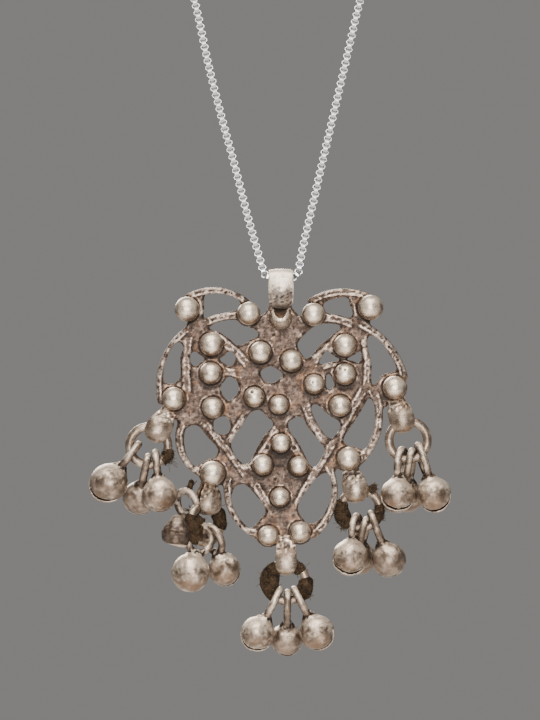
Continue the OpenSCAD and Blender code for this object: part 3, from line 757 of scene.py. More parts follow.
# Pits cast or corroded into granules. Columns: x, z, radius, depth
GRANULE_PITS = [
    (10.4, -16.4, 0.35, 0.35),
    (11.5, -16.6, 0.3, 0.3),
    (-5.3, -20.6, 0.45, 0.3),
    (-3.4, -21.8, 0.3, 0.3),
    (5.6, -19.0, 0.25, 0.3),
    (-0.9, -10.4, 0.3, 0.3),
    (-1.0, -35.7, 0.35, 0.3),
]
granule_bm = bmesh.new()
for ball in GRANULES:
    bmesh.ops.create_uvsphere(
        granule_bm, u_segments=36, v_segments=24, radius=ball.r,
        matrix=Matrix.Translation((ball.x, granule_y, ball.z)) @ upright)
granules = settled("granules", granule_bm)
ball_points, ball_normals = surface_of(granules)
seated = np.repeat([ball.seat_r > 0 for ball in GRANULES], len(ball_points) // len(GRANULES))
ball_lumps = speckle(ball_points, 2.2, seed=5, detail=2)
ball_grain = speckle(ball_points, 0.45, seed=6)
ball_specks = smooth_step(0.3, 0.55, speckle(ball_points, 0.34, seed=15, detail=2))
ball_sunk = 0.05 * ball_lumps + 0.012 * ball_grain
pitted = np.zeros(len(ball_points))
for x, z, r, depth in GRANULE_PITS:
    near = fade(0.3 * r, r, away_from(ball_points, x, z)) * (ball_normals[:, 1] < 0)
    ball_sunk += depth * near
    pitted = np.maximum(pitted, near)
ball_points = ball_points - ball_normals * ball_sunk[:, None]
# Behind a seated ball lies the plate.
ball_points[:, 1] = np.where(seated, np.minimum(ball_points[:, 1], plate_face_y), ball_points[:, 1])
set_points(granules, ball_points)
facing, upward = -ball_normals[:, 1], ball_normals[:, 2]
# Painted light: the tops are painted lighter as a painted highlight; the undersides, the foot against the
# plate and the edges seen from the front are painted darker as painted shade.
set_tone(
    granules,
    rim=0.22 + 0.45 * smooth_step(0.45, 0.95, facing) + 0.5 * smooth_step(-0.1, 0.8, upward)
    + 0.15 * ball_lumps,
    cavity=smooth_step(-0.95, -0.5, ball_points[:, 1]) * np.where(seated, 1.0, 0.4)
    * (0.25 + 0.5 * smooth_step(-0.3, 0.8, -upward))
    + pitted + 0.55 * ball_specks * fade(0.8, 0.95, facing)
    + 0.34 * fade(0.05, 0.5, facing) * (0.5 + 0.5 * smooth_step(-0.5, 0.5, -upward)),
    stain=0.75 * smooth_step(0.1, 0.8, -upward))
granule_silver = old_silver(
    "granule_silver", bright=(0.83, 0.71, 0.58, 1), worn=(0.33, 0.263, 0.208, 1),
    grey=(0.160, 0.117, 0.088, 1), brown=(0.034, 0.020, 0.013, 1), tan=(0.27, 0.165, 0.096, 1),
    mottle_scale=600, wear=-0.05, gloss=0.20, metal=0.72)
dress(granules, granule_silver)
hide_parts("openwork")
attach(granules, "pendant")

# Eye: a ball of silver like the granules, hollowed from the front and above for the bail's foot.
# Its lip is worn bright and, with its front, painted lighter as a painted highlight. Its
# underside is painted darker as painted shade, its inside is brown, and a ring of silver soldered
# behind it closes it.
eye_middle = Vector((-0.08, -0.75, -7.42))
eye_r = 2.12
closing_middle = Vector((-0.1, -0.2, -5.9))
closing_r = 1.7
closing_wire = 0.5
tunnel_at = Vector((-0.12, -2.5, -5.88))
tunnel_way = Vector((0, 0.894, 0.447))
tunnel_r = 1.25
tunnel_length = 12
eye_voxel = 0.1


def spin_round(bm, section, steps, middle=(0, 0, 0), axis=(0, 0, 1)):
    """Spins a closed section once round an axis and joins its end to its start."""
    edges = list({e for v in section["verts"] for e in v.link_edges})
    bmesh.ops.spin(
        bm, geom=section["verts"] + edges, cent=middle, axis=axis, dvec=(0, 0, 0),
        angle=2 * pi, steps=steps, use_merge=True, use_duplicate=False)


def along_z(way):
    """The turn that lays +Z along a direction."""
    return way.to_track_quat("Z", "Y").to_matrix().to_4x4()


def press_in(piece, points, normals, depth):
    """Presses each point in by its depth."""
    set_points(piece, points - normals * depth[:, None])


ball_bm = bmesh.new()
bmesh.ops.create_uvsphere(
    ball_bm, u_segments=40, v_segments=28, radius=eye_r, matrix=Matrix.Translation(eye_middle) @ upright)
tunnel_bm = bmesh.new()
bmesh.ops.create_cone(
    tunnel_bm, cap_ends=True, segments=40, radius1=tunnel_r, radius2=tunnel_r, depth=tunnel_length,
    matrix=Matrix.Translation(tunnel_at) @ along_z(tunnel_way))
tunnel = settled("tunnel", tunnel_bm)
hollowed = settled("hollowed", ball_bm, cut_by(tunnel))
eye_bm = bmesh.new()
closing_section = bmesh.ops.create_circle(
    eye_bm, segments=18, radius=closing_wire,
    matrix=Matrix.Translation(closing_middle + Vector((closing_r, 0, 0))))
spin_round(eye_bm, closing_section, 48, closing_middle, (0, 1, 0))
eye_bm.from_mesh(hollowed.data)
eye = settled("bail_eye", eye_bm, *skin(eye_voxel, 3))
bpy.data.objects.remove(tunnel)
bpy.data.objects.remove(hollowed)
eye_points, eye_normals = surface_of(eye)
eye_under = -eye_normals[:, 2]
from_tunnel = np.linalg.norm(np.cross(eye_points - np.array(tunnel_at), np.array(tunnel_way)), axis=1)
from_middle = np.linalg.norm(eye_points - np.array(eye_middle), axis=1)
on_closing = smooth_step(1.02 * eye_r, 1.08 * eye_r, from_middle)
inner_wall = fade(tunnel_r + 0.02, tunnel_r + 0.11, from_tunnel) * (1 - on_closing)
eye_lumps = speckle(eye_points, 0.5, seed=15)
press_in(eye, eye_points, eye_normals, 0.05 * eye_lumps)
# The lip and the front are painted lighter as a painted highlight, the underside darker as painted shade.
set_tone(
    eye,
    rim=(0.95 * fade(1.4, 2.0, from_tunnel) + 0.3 * smooth_step(0.2, 0.9, -eye_normals[:, 1]))
    * (1 - on_closing) * (1 - inner_wall) + 0.2 * eye_lumps,
    cavity=0.50 * inner_wall + 0.45 * on_closing + 0.35 * smooth_step(0.5, 0.95, eye_under)
    + 0.3 * smooth_step(0.1, 0.5, eye_lumps),
    stain=0.9 * inner_wall + 0.7 * on_closing + 0.5 * smooth_step(0.2, 0.9, eye_under))
dress(eye, granule_silver)
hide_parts("openwork")
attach(eye, "pendant")

# Strap ears: short straps of sheet silver bent double, the ends soldered to the plate's edge and
# the bend left open below as an eye for the jump ring. Solder has run down their roots.
ear_r = 1.4
ear_t = 0.5
# How far the middle of the round tip stands off the tip, beside the tip's own radius
ear_tip_wall = 0.35
ear_least_half_width = 0.30
ear_root_z = -0.1
ear_pinch = 0.55
strap_rounding = 0.13
Ear = namedtuple("Ear", "x z lean turn reach width domed taper solder")
# Columns: x and z of the root, lean from straight down, turn, length, width, how far it is domed,
# how much narrower its root is, how far the solder runs down it
EARS = [Ear(*row) for row in (
    (-20.4, -24.6, -31, 0, 5.7, 4.1, 0.80, 0.30, 1.8),
    (-12.9, -37.6, -4, 26, 5.3, 3.7, 0.90, 0.30, 3.4),
    (0.9, -47.6, 0, 0, 6.1, 3.5, 0.30, 0.0, 2.9),
    (20.9, -22.6, 16, 0, 5.6, 4.0, 0.80, 0.24, 2.4),
    (12.7, -35.5, 15, 0, 5.2, 4.0, 0.80, 0.24, 2.4),
)]


def join_in(bm, part, matrix):
    """Adds a part to a bmesh, moved by the matrix."""
    part_mesh = bpy.data.meshes.new("part")
    part.to_mesh(part_mesh)
    part.free()
    part_mesh.transform(matrix)
    bm.from_mesh(part_mesh)
    bpy.data.meshes.remove(part_mesh)


def share(x):
    """A number kept between 0 and 1."""
    return max(0.0, min(1.0, x))


def turned(degrees, axis):
    """A turn about an axis."""
    return Matrix.Rotation(radians(degrees), 4, axis)


def strap_loop(bm, radius, top, foot, half_width, bulge, pinch=1.0):
    """A strap bent into a closed loop round X, its turns at top and foot. Bulge crowns it at each
    height, pinch narrows its top turn."""
    bmesh.ops.create_cone(
        bm, cap_ends=False, segments=40, radius1=radius, radius2=radius, depth=2, matrix=turned(90, "Y"))
    lengthwise = [e for e in bm.edges if abs(e.verts[0].co.x - e.verts[1].co.x) > 1]
    bmesh.ops.subdivide_edges(bm, edges=lengthwise, cuts=11, use_grid_fill=True)
    for v in bm.verts:
        v.co.z += top if v.co.z > -0.001 else foot
    long_sides = [e for e in bm.edges if abs(e.verts[0].co.z - e.verts[1].co.z) > 0.8]
    bmesh.ops.subdivide_edges(bm, edges=long_sides, cuts=14, use_grid_fill=True)
    for v in bm.verts:
        v.co.y *= 1 + (pinch - 1) * share((v.co.z - foot) / (top - foot))
        height = v.co.z
        crown = bulge(height) * (1 - v.co.x ** 2)
        v.co += Vector((0, v.co.y, max(0.0, height - top))).normalized() * crown
        v.co.x *= half_width(height)
    bmesh.ops.recalc_face_normals(bm, faces=bm.faces)
    middle = Vector((0, 0, (top + foot) / 2))
    if sum(f.normal.dot(f.calc_center_median() - middle) for f in bm.faces) < 0:
        bmesh.ops.reverse_faces(bm, faces=bm.faces)


def strap_piece(name, bm, thickness):
    """Gives straps their thickness and rounded edges."""
    return settled(
        name, bm, ("SOLIDIFY", {"thickness": thickness, "offset": 1.0}),
        ("BEVEL", {
            "width": strap_rounding, "segments": 3, "limit_method": "ANGLE",
            "angle_limit": radians(40)}))


def ear_shape(ear):
    """How wide half an ear is at a height, and how far it is domed there."""
    tip_r = ear.width / 2
    middle_z = -ear.reach + ear_tip_wall + tip_r

    def half_width(height):
        """Round at the tip, narrower at the root."""
        under, over = share((middle_z - height) / tip_r), share((height - middle_z) / -middle_z)
        rounding = max(ear_least_half_width, sqrt(1 - under ** 2))
        return tip_r * rounding * (1 - ear.taper * over ** 2)

    def bulge(height):
        """Most in the middle of the tip."""
        off = share(abs(height - middle_z) / (1.25 * tip_r))
        return 0.1 + ear.domed * sqrt(1 - off ** 2)

    return half_width, bulge


ear_bm = bmesh.new()
for ear in EARS:
    part = bmesh.new()
    strap_loop(
        part, ear_r - ear_t, ear_root_z, -ear.reach + ear_r, *ear_shape(ear), pinch=ear_pinch)
    stand = Matrix.Translation((ear.x, 0, ear.z)) @ turned(-ear.lean, "Y") @ turned(ear.turn, "Z")
    join_in(ear_bm, part, stand)
ears = strap_piece("strap_ears", ear_bm, ear_t)
ear_points, ear_normals = surface_of(ears)
root_near, tip_near = np.zeros((2, len(ear_points)))
for ear in EARS:
    away = ear_points - np.array((ear.x, 0, ear.z))
    along = away @ np.array(turned(-ear.lean, "Y") @ Vector((0, 0, -1)))
    mine = np.linalg.norm(away, axis=1) < ear.reach + 1.6
    root_near = np.maximum(root_near, mine * fade(0.35 * ear.solder, ear.solder, along))
    tip_near = np.maximum(tip_near, mine * smooth_step(ear.reach - 1.2, ear.reach, along))
ear_lumps = speckle(ear_points, 0.9, seed=8)
ear_grit = speckle(ear_points, 0.5, seed=9, detail=2)
ear_pits = smooth_step(0.2, 0.5, ear_grit) * root_near
press_in(ears, ear_points, ear_normals, 0.03 * ear_lumps + 0.12 * ear_grit * root_near + 0.1 * ear_pits)
# The tops are painted lighter as a painted highlight and the faces turned to the back darker as painted
# shade; the undersides are tan.
set_tone(
    ears,
    rim=0.08 - 0.2 * root_near + 0.35 * ear_lumps + 0.65 * smooth_step(-0.1, 0.8, ear_normals[:, 2])
    + 0.9 * root_near * smooth_step(0.15, 0.5, -ear_grit),
    cavity=0.52 * root_near * smooth_step(-0.6, 0.0, ear_grit) + 1.0 * ear_pits + 0.30 * tip_near
    + 0.15 * smooth_step(0.2, 0.8, ear_normals[:, 1]),
    stain=0.9 * root_near + 0.6 * smooth_step(0.1, 0.9, -ear_normals[:, 2]))
dress(ears, granule_silver)
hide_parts("openwork")
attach(ears, "pendant")

# Bail: a flat strap of silver bent over the chain and soldered into a closed loop. It narrows to
# a foot that goes through the plate's eye. It is bright on top and grey with dark pits below.
bail_r = 1.15
bail_t = 0.45
bail_top = -0.35
bail_foot = -4.25
# How far under the foot's middle the strap has come down to its tip's width
bail_tip = 1.15
bail_half_width_at_tip = 0.55
bail_half_width_above = 2.15
bail_bm = bmesh.new()


def bail_half_width(height):
    """Half the strap's width: full down to the foot, then round to a narrow tip."""
    under = share((bail_foot - 0.05 - height) / bail_tip)
    wider = bail_half_width_above - bail_half_width_at_tip
    return bail_half_width_at_tip + wider * sqrt(1 - under ** 2)


def bail_bulge(height):
    """How far the strap is crowned: most in the middle of its height."""
    over_foot, near_top = smooth_step(-4.6, -3.0, height), smooth_step(-1.6, 0.2, height)
    return 0.12 + 0.36 * float(over_foot) - 0.24 * float(near_top)


strap_loop(bail_bm, bail_r, bail_top, bail_foot, bail_half_width, bail_bulge)
bail = strap_piece("strap_bail", bail_bm, bail_t)
bail_points, bail_normals = surface_of(bail)
bail_lumps = speckle(bail_points, 0.8, seed=11)
bail_low = fade(-3.4, -0.7, bail_points[:, 2])
bail_pits = smooth_step(0.25, 0.5, speckle(bail_points, 0.34, seed=12, detail=2)) * bail_low
inner_side = smooth_step(0.0, 0.5, -(bail_normals[:, 1] * np.sign(bail_points[:, 1])))
press_in(bail, bail_points, bail_normals, 0.025 * bail_lumps + 0.08 * bail_pits)
set_tone(
    bail,
    rim=0.85 - 0.72 * bail_low + 0.4 * smooth_step(1.8, 2.1, np.abs(bail_points[:, 0]))
    + 0.35 * bail_lumps + 0.3 * smooth_step(0.3, 0.9, bail_points[:, 2]),
    cavity=0.34 * bail_low + 0.9 * bail_pits + 0.5 * inner_side
    + 0.35 * fade(-5.4, -4.6, bail_points[:, 2]),
    stain=0.5 * bail_low)
bail_silver = old_silver(
    "bail_silver", bright=(0.98, 0.85, 0.70, 1), worn=(0.31, 0.255, 0.216, 1),
    grey=(0.13, 0.102, 0.086, 1), brown=(0.022, 0.015, 0.011, 1), tan=(0.24, 0.16, 0.105, 1),
    mottle_scale=1100, wear=0.0, gloss=0.34, metal=0.75)
dress(bail, bail_silver, PIVOT_MM)
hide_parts("bail")
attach(bail, "pendant")

# Jump rings: round silver wire bent into rings, one through each ear. They are worn in patches,
# their upper faces are painted lighter as a painted highlight, and they are darker and brown inside.
ring_r = 3.45
ring_wire = 0.80
# Columns: node, x and z of the middle, turn about the vertical
RINGS = [
    ("ring_left", -23.8, -30.4, 0),
    ("ring_lower_left", -13.6, -44.4, 38),
    ("ring_bottom", 1.0, -54.9, 0),
    ("ring_right", 22.9, -29.4, 0),
    ("ring_lower_right", 14.3, -41.8, 0),
]


def add_ring(bm, radius, wire, matrix, steps, sides_of_wire, longer=0.0):
    """A closed wire ring round its own Z, longer along its X by so much each way, moved by the
    matrix."""
    part = bmesh.new()
    section = bmesh.ops.create_circle(
        part, segments=sides_of_wire, radius=wire, matrix=Matrix.Translation((radius, 0, 0)))
    for v in section["verts"]:
        v.co = Vector((v.co.x, 0, v.co.y))
    spin_round(part, section, steps)
    for v in part.verts:
        v.co.x += longer * v.co.x / v.co.xy.length
    bmesh.ops.recalc_face_normals(part, faces=part.faces)
    join_in(bm, part, matrix)


def ring_frame(k):
    """The matrix of a jump ring: its plane's middle, turned about the vertical."""
    _, x, z, turn = RINGS[k]
    return Matrix.Translation((x, 0, z)) @ turned(turn, "Z")


for k, (node, x, z, _) in enumerate(RINGS):
    ring_bm = bmesh.new()
    add_ring(ring_bm, ring_r, ring_wire, ring_frame(k) @ upright, steps=72, sides_of_wire=18)
    ring = settled("jump_" + node, ring_bm)
    ring_points, ring_normals = surface_of(ring)
    ring_lumps = speckle(ring_points, 0.8, seed=20 + k)
    press_in(ring, ring_points, ring_normals, 0.03 * ring_lumps)
    outward = ring_points - np.array((x, 0, z))
    outward /= np.linalg.norm(outward, axis=1)[:, None]
    inner = smooth_step(0.0, 0.9, -np.einsum("ij,ij->i", outward, ring_normals))
    # The upper faces are painted lighter as a painted highlight.
    set_tone(
        ring,
        rim=0.10 + 0.4 * ring_lumps - 0.3 * inner + 0.35 * smooth_step(0.0, 0.9, ring_normals[:, 2]),
        cavity=0.08 + 0.50 * inner + 0.2 * ring_lumps,
        stain=0.6 * inner)
    dress(ring, granule_silver)
    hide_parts(node)
    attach(ring, "pendant")

# Bells: hollow balls of thin silver, each with a slit across its foot, a soldered neck and a wire
# loop that hangs on a jump ring. They are satin with handling and brown at the neck. Their tops and
# the fronts of their loops are painted lighter as a painted highlight; their undersides, insides and
# the edges of their slits are painted darker as painted shade, and their undersides are tan.
loop_r = 1.88
wide_loop_r = 2.25
loop_wire = 0.68
loop_gap = 0.12
# The neck's foot lies this far up the ball and is this wide, both as shares of its radius.
neck_foot_up = 0.80
neck_foot_wide = 0.59
neck_top_r = 0.78
neck_rise = 0.3
neck_into_loop = 0.5
bell_wall = 0.4
slit_half_length = 76
bell_voxel = 0.16
# Columns: node, ring, place on the ring from its foot, hang from straight down, lean back, twist
# about its own stem, how far its loop is pushed up, drop to the bell's middle, radius, where the
# slit shows from straight down, how far it tips to the front, how far the back lip stands out
BELLS = [
    ("bell_left_a", 0, -66, -38, -4, 0, 0.55, 7.15, 3.45, 0, 22, 0.11),
    ("bell_left_b", 0, -8, -13, 34, 0, 0, 7.5, 3.0, -20, 12, 0.04),
    ("bell_left_c", 0, 24, 6, -12, 0, 0.4, 6.1, 3.15, 10, 9, 0.03),
    ("bell_lower_left_a", 1, -25, -15, -12, 112, 1.4, 7.3, 3.45, -10, 7, 0.02),
    ("bell_lower_left_b", 1, 30, 21, 8, 38, 1, 6.7, 3.0, 60, 13, 0.06),
    ("bell_bottom_a", 2, -34, -27, -2, 0, 0, 7.2, 3.1, -12, 24, 0.07),
    ("bell_bottom_b", 2, 3, -1, 23, 0, 0, 7.7, 2.9, 0, 10, 0.06),
    ("bell_bottom_c", 2, 38, 28, -2, 0, 0, 7.15, 3.15, 72, 19, 0.07),
    ("bell_right_a", 3, -19, -8, -12, -24, 0, 6.75, 3.05, -8, 37, 0.09),
    ("bell_right_b", 3, 8, -4, 34, -14, 0, 8.0, 3.0, 5, 0, 0.03),
    ("bell_right_c", 3, 42, 18, -2, 8, 0.15, 7.55, 3.1, 45, 19, 0.13),
    ("bell_lower_right_a", 4, -14, -11, -14, -22, 0.5, 6.05, 3.2, -5, 31, 0.08),
    ("bell_lower_right_b", 4, 12, -8, 40, -13, 0, 7.4, 3.0, 0, 0, 0.03),
    ("bell_lower_right_c", 4, 46, 21, 0, 0, 0.15, 7.35, 3.1, 30, 9, 0.03),
]
# Dents, by bell. Columns: direction from the bell's middle, size, depth
DENTS = {
    "bell_left_a": [((0.7, -0.8, 0.5), 1.8, 0.12)],
    "bell_lower_left_a": [
        ((-0.7, -1, 0.5), 1.9, 0.22), ((0.7, -1, 0.6), 1.6, 0.18), ((0.1, -1, -0.8), 1.5, 0.12)],
    "bell_lower_left_b": [
        ((-0.5, -1, 0.1), 1.5, 0.35), ((0.45, -1, 0.5), 1.2, 0.25), ((0.3, -1, -0.5), 1.3, 0.2)],
    "bell_bottom_a": [((0.5, -1, 0.4), 1.3, 0.12)],
    "bell_lower_right_c": [((-0.7, -1, 0.3), 1.6, 0.2)],
}
# How much brighter or darker a bell is painted than the others, partly as painted shade on the
# bells that hang in shade
BELL_LIGHT_AND_SHADE = {
    "bell_lower_right_c": -0.30, "bell_lower_left_b": -0.15, "bell_bottom_a": 0.08,
    "bell_left_a": -0.05, "bell_left_b": -0.15, "bell_lower_left_a": 0.08, "bell_bottom_b": -0.12,
}
bell_silver = old_silver(
    "bell_silver", bright=(0.82, 0.69, 0.56, 1), worn=(0.330, 0.256, 0.200, 1),
    grey=(0.130, 0.096, 0.073, 1), brown=(0.016, 0.009, 0.006, 1), tan=(0.24, 0.148, 0.092, 1),
    mottle_scale=640, wear=0.0, gloss=0.29, metal=0.75)


def ring_point(k, place):
    """A point on the middle of a jump ring's wire, at so many degrees from its foot."""
    return ring_frame(k) @ Vector((ring_r * sin(radians(place)), 0, -ring_r * cos(radians(place))))


def add_loop(bm, radius, matrix, longer):
    """A bell's wire loop, upright in the matrix's frame."""
    upright_loop = matrix @ turned(90, "Y")
    add_ring(bm, radius, loop_wire, upright_loop, steps=48, sides_of_wire=14, longer=longer)


def add_neck(bm, matrix, foot_r, top_r, height):
    """The solder neck between ball and loop, standing on its own Z."""
    bmesh.ops.create_cone(
        bm, cap_ends=True, segments=24, radius1=foot_r, radius2=top_r, depth=height,
        matrix=matrix @ Matrix.Translation((0, 0, height / 2)))


def add_bell_body(bm, middle, r, slit_normal, mouth, lip):
    """A ball pressed from two halves, with a slit between them round the mouth. The back lip
    stands out."""
    part = bmesh.new()
    bmesh.ops.create_uvsphere(part, u_segments=56, v_segments=25, radius=r)
    slit_faces = []
    for face in part.faces:
        at = face.calc_center_median()
        if abs(at.z) < 0.01 * r and abs(atan2(at.y, at.x)) < radians(slit_half_length):
            slit_faces.append(face)
    bmesh.ops.delete(part, geom=slit_faces, context="FACES")
    for v in part.verts:
        if v.co.z < 0:
            v.co.x += lip * r * float(smooth_step(-0.3, 1.0, v.co.x / r))
    bmesh.ops.recalc_face_normals(part, faces=part.faces)
    if sum(f.normal.dot(f.calc_center_median()) for f in part.faces) < 0:
        bmesh.ops.reverse_faces(part, faces=part.faces)
    bmesh.ops.solidify(part, geom=part.faces, thickness=bell_wall)
    bmesh.ops.recalc_face_normals(part, faces=part.faces)
    # The ball's X points out of the mouth and its Z across the slit.
    facing_mouth = Matrix((mouth, slit_normal.cross(mouth), slit_normal)).transposed().to_4x4()
    join_in(bm, part, Matrix.Translation(middle) @ facing_mouth)


def weather_bell(piece, middle, r, neck_top, slit_normal, mouth, seed, dents=(), light_and_shade=0.0):
    """Dents, wear, painted highlight and painted shade of one bell, from where its neck and slit are."""
    points, normals = surface_of(piece)
    away = points - np.array(middle)
    out = np.linalg.norm(away, axis=1)
    outward = away / out[:, None]
    on_ball = fade(1.02 * r, 1.1 * r, out)
    stem = np.array(neck_top - middle)
    stem /= np.linalg.norm(stem)
    up_stem = away @ stem
    off_stem = np.linalg.norm(away - np.outer(up_stem, stem), axis=1)
    at_neck = smooth_step(0.82, 0.98, up_stem / r) * fade(1.25, 1.55, up_stem / r)
    at_neck *= fade(1.2, 2.1, off_stem)
    lumps = speckle(points, 2.4, seed=seed, detail=2)
    ripple = speckle(points, 1.1, seed=seed + 0.2, detail=2)
    grain = speckle(points, 0.6, seed=seed + 0.5)
    grit = speckle(points, 0.5, seed=seed + 0.7, detail=2)
    sunk = (0.12 * lumps + 0.03 * ripple) * on_ball + 0.014 * grain + 0.10 * at_neck * grit
    for direction, size, depth in dents:
        toward = np.array(Vector(direction).normalized())
        near = fade(0.2 * size, size, np.linalg.norm(away / r - toward, axis=1) * r)
        sunk += depth * near * on_ball
    press_in(piece, points, outward, sunk)
    from_slit = np.abs(away @ np.array(slit_normal))
    at_mouth = smooth_step(0.25, 0.5, away @ np.array(mouth) / r) * on_ball
    inside = smooth_step(0.2, -0.2, np.einsum("ij,ij->i", outward, normals)) * on_ball
    on_loop = 1 - on_ball
    loop_side = smooth_step(0.45, 0.9, np.abs(normals[:, 0]))
    facing, upward = -normals[:, 1], normals[:, 2]
    # Painted light: the top and the front of the loop are painted lighter as a painted highlight; the
    # underside, the inside of the shell and the edges of the slit are painted darker as painted shade.
    set_tone(
        piece,
        rim=0.16 + 0.20 * lumps + 0.78 * smooth_step(-0.1, 0.9, upward) + 0.32 * grain
        + 0.60 * fade(0.28, 0.6, from_slit) * at_mouth
        + at_neck * (0.7 * smooth_step(0.1, 0.5, -grit) - 0.3)
        + 0.12 * on_loop * smooth_step(0.4, 0.95, facing) + light_and_shade,
        cavity=at_neck * (0.62 * smooth_step(-0.5, 0.2, grit) + 0.5 * smooth_step(0.2, 0.5, grit))
        + on_loop * (0.22 + 0.42 * loop_side + 0.3 * grain)
        + 0.9 * fade(0.14, 0.32, from_slit) * at_mouth + 0.9 * inside + 0.22 * grain
        + 0.14 * on_ball * smooth_step(0.0, 0.8, -upward),
        stain=0.9 * smooth_step(-0.1, 0.85, -upward) * on_ball + 0.7 * at_neck)


for number, row in enumerate(BELLS):
    node, k, place, hang, lean, twist, push, drop, r, slit_shows, slit_tip, lip = row
    turn_r = wide_loop_r if k == 1 else loop_r
    hung = (
        Matrix.Translation(ring_point(k, place)) @ turned(-hang, "Y") @ turned(lean, "X")
        @ turned(twist, "Z"))
    loop_z = push - (turn_r - loop_wire - ring_wire - loop_gap)
    body_z = push - drop
    loop_top = loop_z + turn_r
    loop_low = min(loop_z - turn_r, body_z + r + neck_rise)
    neck_foot = body_z + neck_foot_up * r
    middle = hung @ Vector((0, 0, body_z))
    neck_top = hung @ Vector((0, 0, loop_z - turn_r))
    shows, tip = radians(slit_shows), radians(slit_tip)
    slit_normal = Vector((-sin(shows) * sin(tip), -cos(tip), cos(shows) * sin(tip)))
    mouth = (middle - neck_top).normalized()
    mouth = (mouth - slit_normal * mouth.dot(slit_normal)).normalized()
    bell_bm = bmesh.new()
    add_loop(
        bell_bm, turn_r, hung @ Matrix.Translation((0, 0, (loop_top + loop_low) / 2)),
        (loop_top - loop_low) / 2 - turn_r)
    add_neck(
        bell_bm, hung @ Matrix.Translation((0, 0, neck_foot)), neck_foot_wide * r, neck_top_r,
        loop_low + neck_into_loop - neck_foot)
    add_bell_body(bell_bm, middle, r, slit_normal, mouth, lip)
    voxel = bell_voxel
    bell = settled(node.replace("bell_", "silver_bell_"), bell_bm, *skin(voxel, 2))
    weather_bell(
        bell, middle, r, neck_top, slit_normal, mouth, 30 + number, DENTS.get(node, []),
        BELL_LIGHT_AND_SHADE.get(node, 0.0))
    dress(bell, bell_silver)
    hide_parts(node)
    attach(bell, "pendant")

# Crushed bell: the third bell of the lower left ring, beaten in from below and in front. It has
# the same loop, but thread ties it to the ring. It hangs behind the others and is painted darker
# than them as painted shade.
crushed_loop = Vector((-16.9, 0.7, -40.9))
crushed_lean = -20
crushed_turn = 50
crushed_longer = 0.15
crushed_middle = Vector((-18.9, -2.9, -45.9))
crushed_aside = Vector((0.1, 0, 0))
crushed_r = 2.4
crushed_body_turn = 8
crushed_neck_foot_r = 0.7
crushed_neck_top_r = 1.3
crushed_spread = (1.08, 1.08, 1.2, 1)
# Columns: direction from the bell's middle, size, depth
CRUSHED_DENTS = [((0.5, -1, 0.1), 1.8, 0.6), ((-0.5, -0.9, 0.5), 1.4, 0.35), ((-0.1, -1, 0.3), 0.9, 0.3)]
crushed_slit = Vector((0.1, -0.75, 0.65)).normalized()
crushed_mouth = Vector((0, -0.65, -0.75)).normalized()
crushed_frame = (
    Matrix.Translation(crushed_loop) @ turned(crushed_lean, "Y") @ turned(crushed_turn, "Z"))
crushed_bm = bmesh.new()
add_loop(crushed_bm, wide_loop_r, crushed_frame, crushed_longer)
# The neck starts on the loop's wire, low and to one side.
crushed_foot = crushed_frame @ Vector((
    0, 0.64 * wide_loop_r, -0.77 * (wide_loop_r + crushed_longer)))
crushed_neck = crushed_middle - crushed_foot
add_neck(
    crushed_bm, Matrix.Translation(crushed_foot) @ along_z(crushed_neck),
    crushed_neck_foot_r, crushed_neck_top_r, crushed_neck.length - 0.6 * crushed_r)
crushed_body = bmesh.new()
bmesh.ops.create_uvsphere(crushed_body, u_segments=48, v_segments=32, radius=crushed_r)
# The upper half is drawn up narrower, the lower half is beaten nearly flat.
for v in crushed_body.verts:
    level_here = v.co.z / crushed_r
    if level_here > 0:
        v.co.z *= 1.15
        v.co.x *= 1 - 0.35 * level_here
        v.co.y *= 1 - 0.30 * level_here
    else:
        flattened = 1 - (1 - min(1.0, -level_here)) ** 2.5
        v.co.z = -crushed_r * flattened * (0.80 + 0.12 * v.co.x / crushed_r)
join_in(
    crushed_bm, crushed_body,
    Matrix.Translation(crushed_middle + crushed_aside) @ turned(crushed_body_turn, "Y")
    @ Matrix.Diagonal(crushed_spread))
crushed = settled("crushed_bell", crushed_bm, *skin(bell_voxel, 2))
weather_bell(
    crushed, crushed_middle, crushed_r, crushed_foot, crushed_slit, crushed_mouth, 61, CRUSHED_DENTS)
crushed_points, _ = surface_of(crushed)
heights = crushed_points[:, 2]
# The beaten edge is worn bright. The loop, which stands forward of the body, is painted lighter as a
# painted highlight, and the rest is rougher and, in its material, painted darker than the other
# bells as painted shade.
above_edge = heights - heights.min() + 0.1 * (crushed_points[:, 0] - crushed_middle.x)
bright_edge = smooth_step(0.1, 0.35, above_edge) * fade(0.5, 0.8, above_edge)
on_loop = smooth_step(crushed_loop.z - 1.8, crushed_loop.z - 1.2, heights)
crushed_rim = np.empty(len(heights))
rim_layer = crushed.data.attributes["rim"].data
rim_layer.foreach_get("value", crushed_rim)
rim_layer.foreach_set(
    "value", np.clip((0.7 + 0.5 * on_loop) * crushed_rim + bright_edge + 0.3 * on_loop, 0, 1))
shaded_crushed_silver = old_silver(
    "shaded_crushed_silver", bright=(0.66, 0.54, 0.45, 1), worn=(0.150, 0.112, 0.088, 1),
    grey=(0.058, 0.042, 0.032, 1), brown=(0.014, 0.009, 0.006, 1), tan=(0.11, 0.07, 0.042, 1),
    mottle_scale=900, wear=-0.15, gloss=0.42)
dress(crushed, shaded_crushed_silver)
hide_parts("bell_crushed")
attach(crushed, "pendant")

# Old thread: brown cotton wound many times round the jump rings to hold the bells apart. It is
# dusty and frayed, with tufts of fibre and loose ends that stand off it.
thread_r = 0.115
end_r = 0.065
fibre_r = 0.036
steps_per_turn = 12
# How far a winding stays off the ring's wire
off_wire = 0.1
# Steps along a fibre or a loose end, from its root to its tip
along_fibre = np.linspace(0, 1, 6)
draws = np.random.default_rng(7)
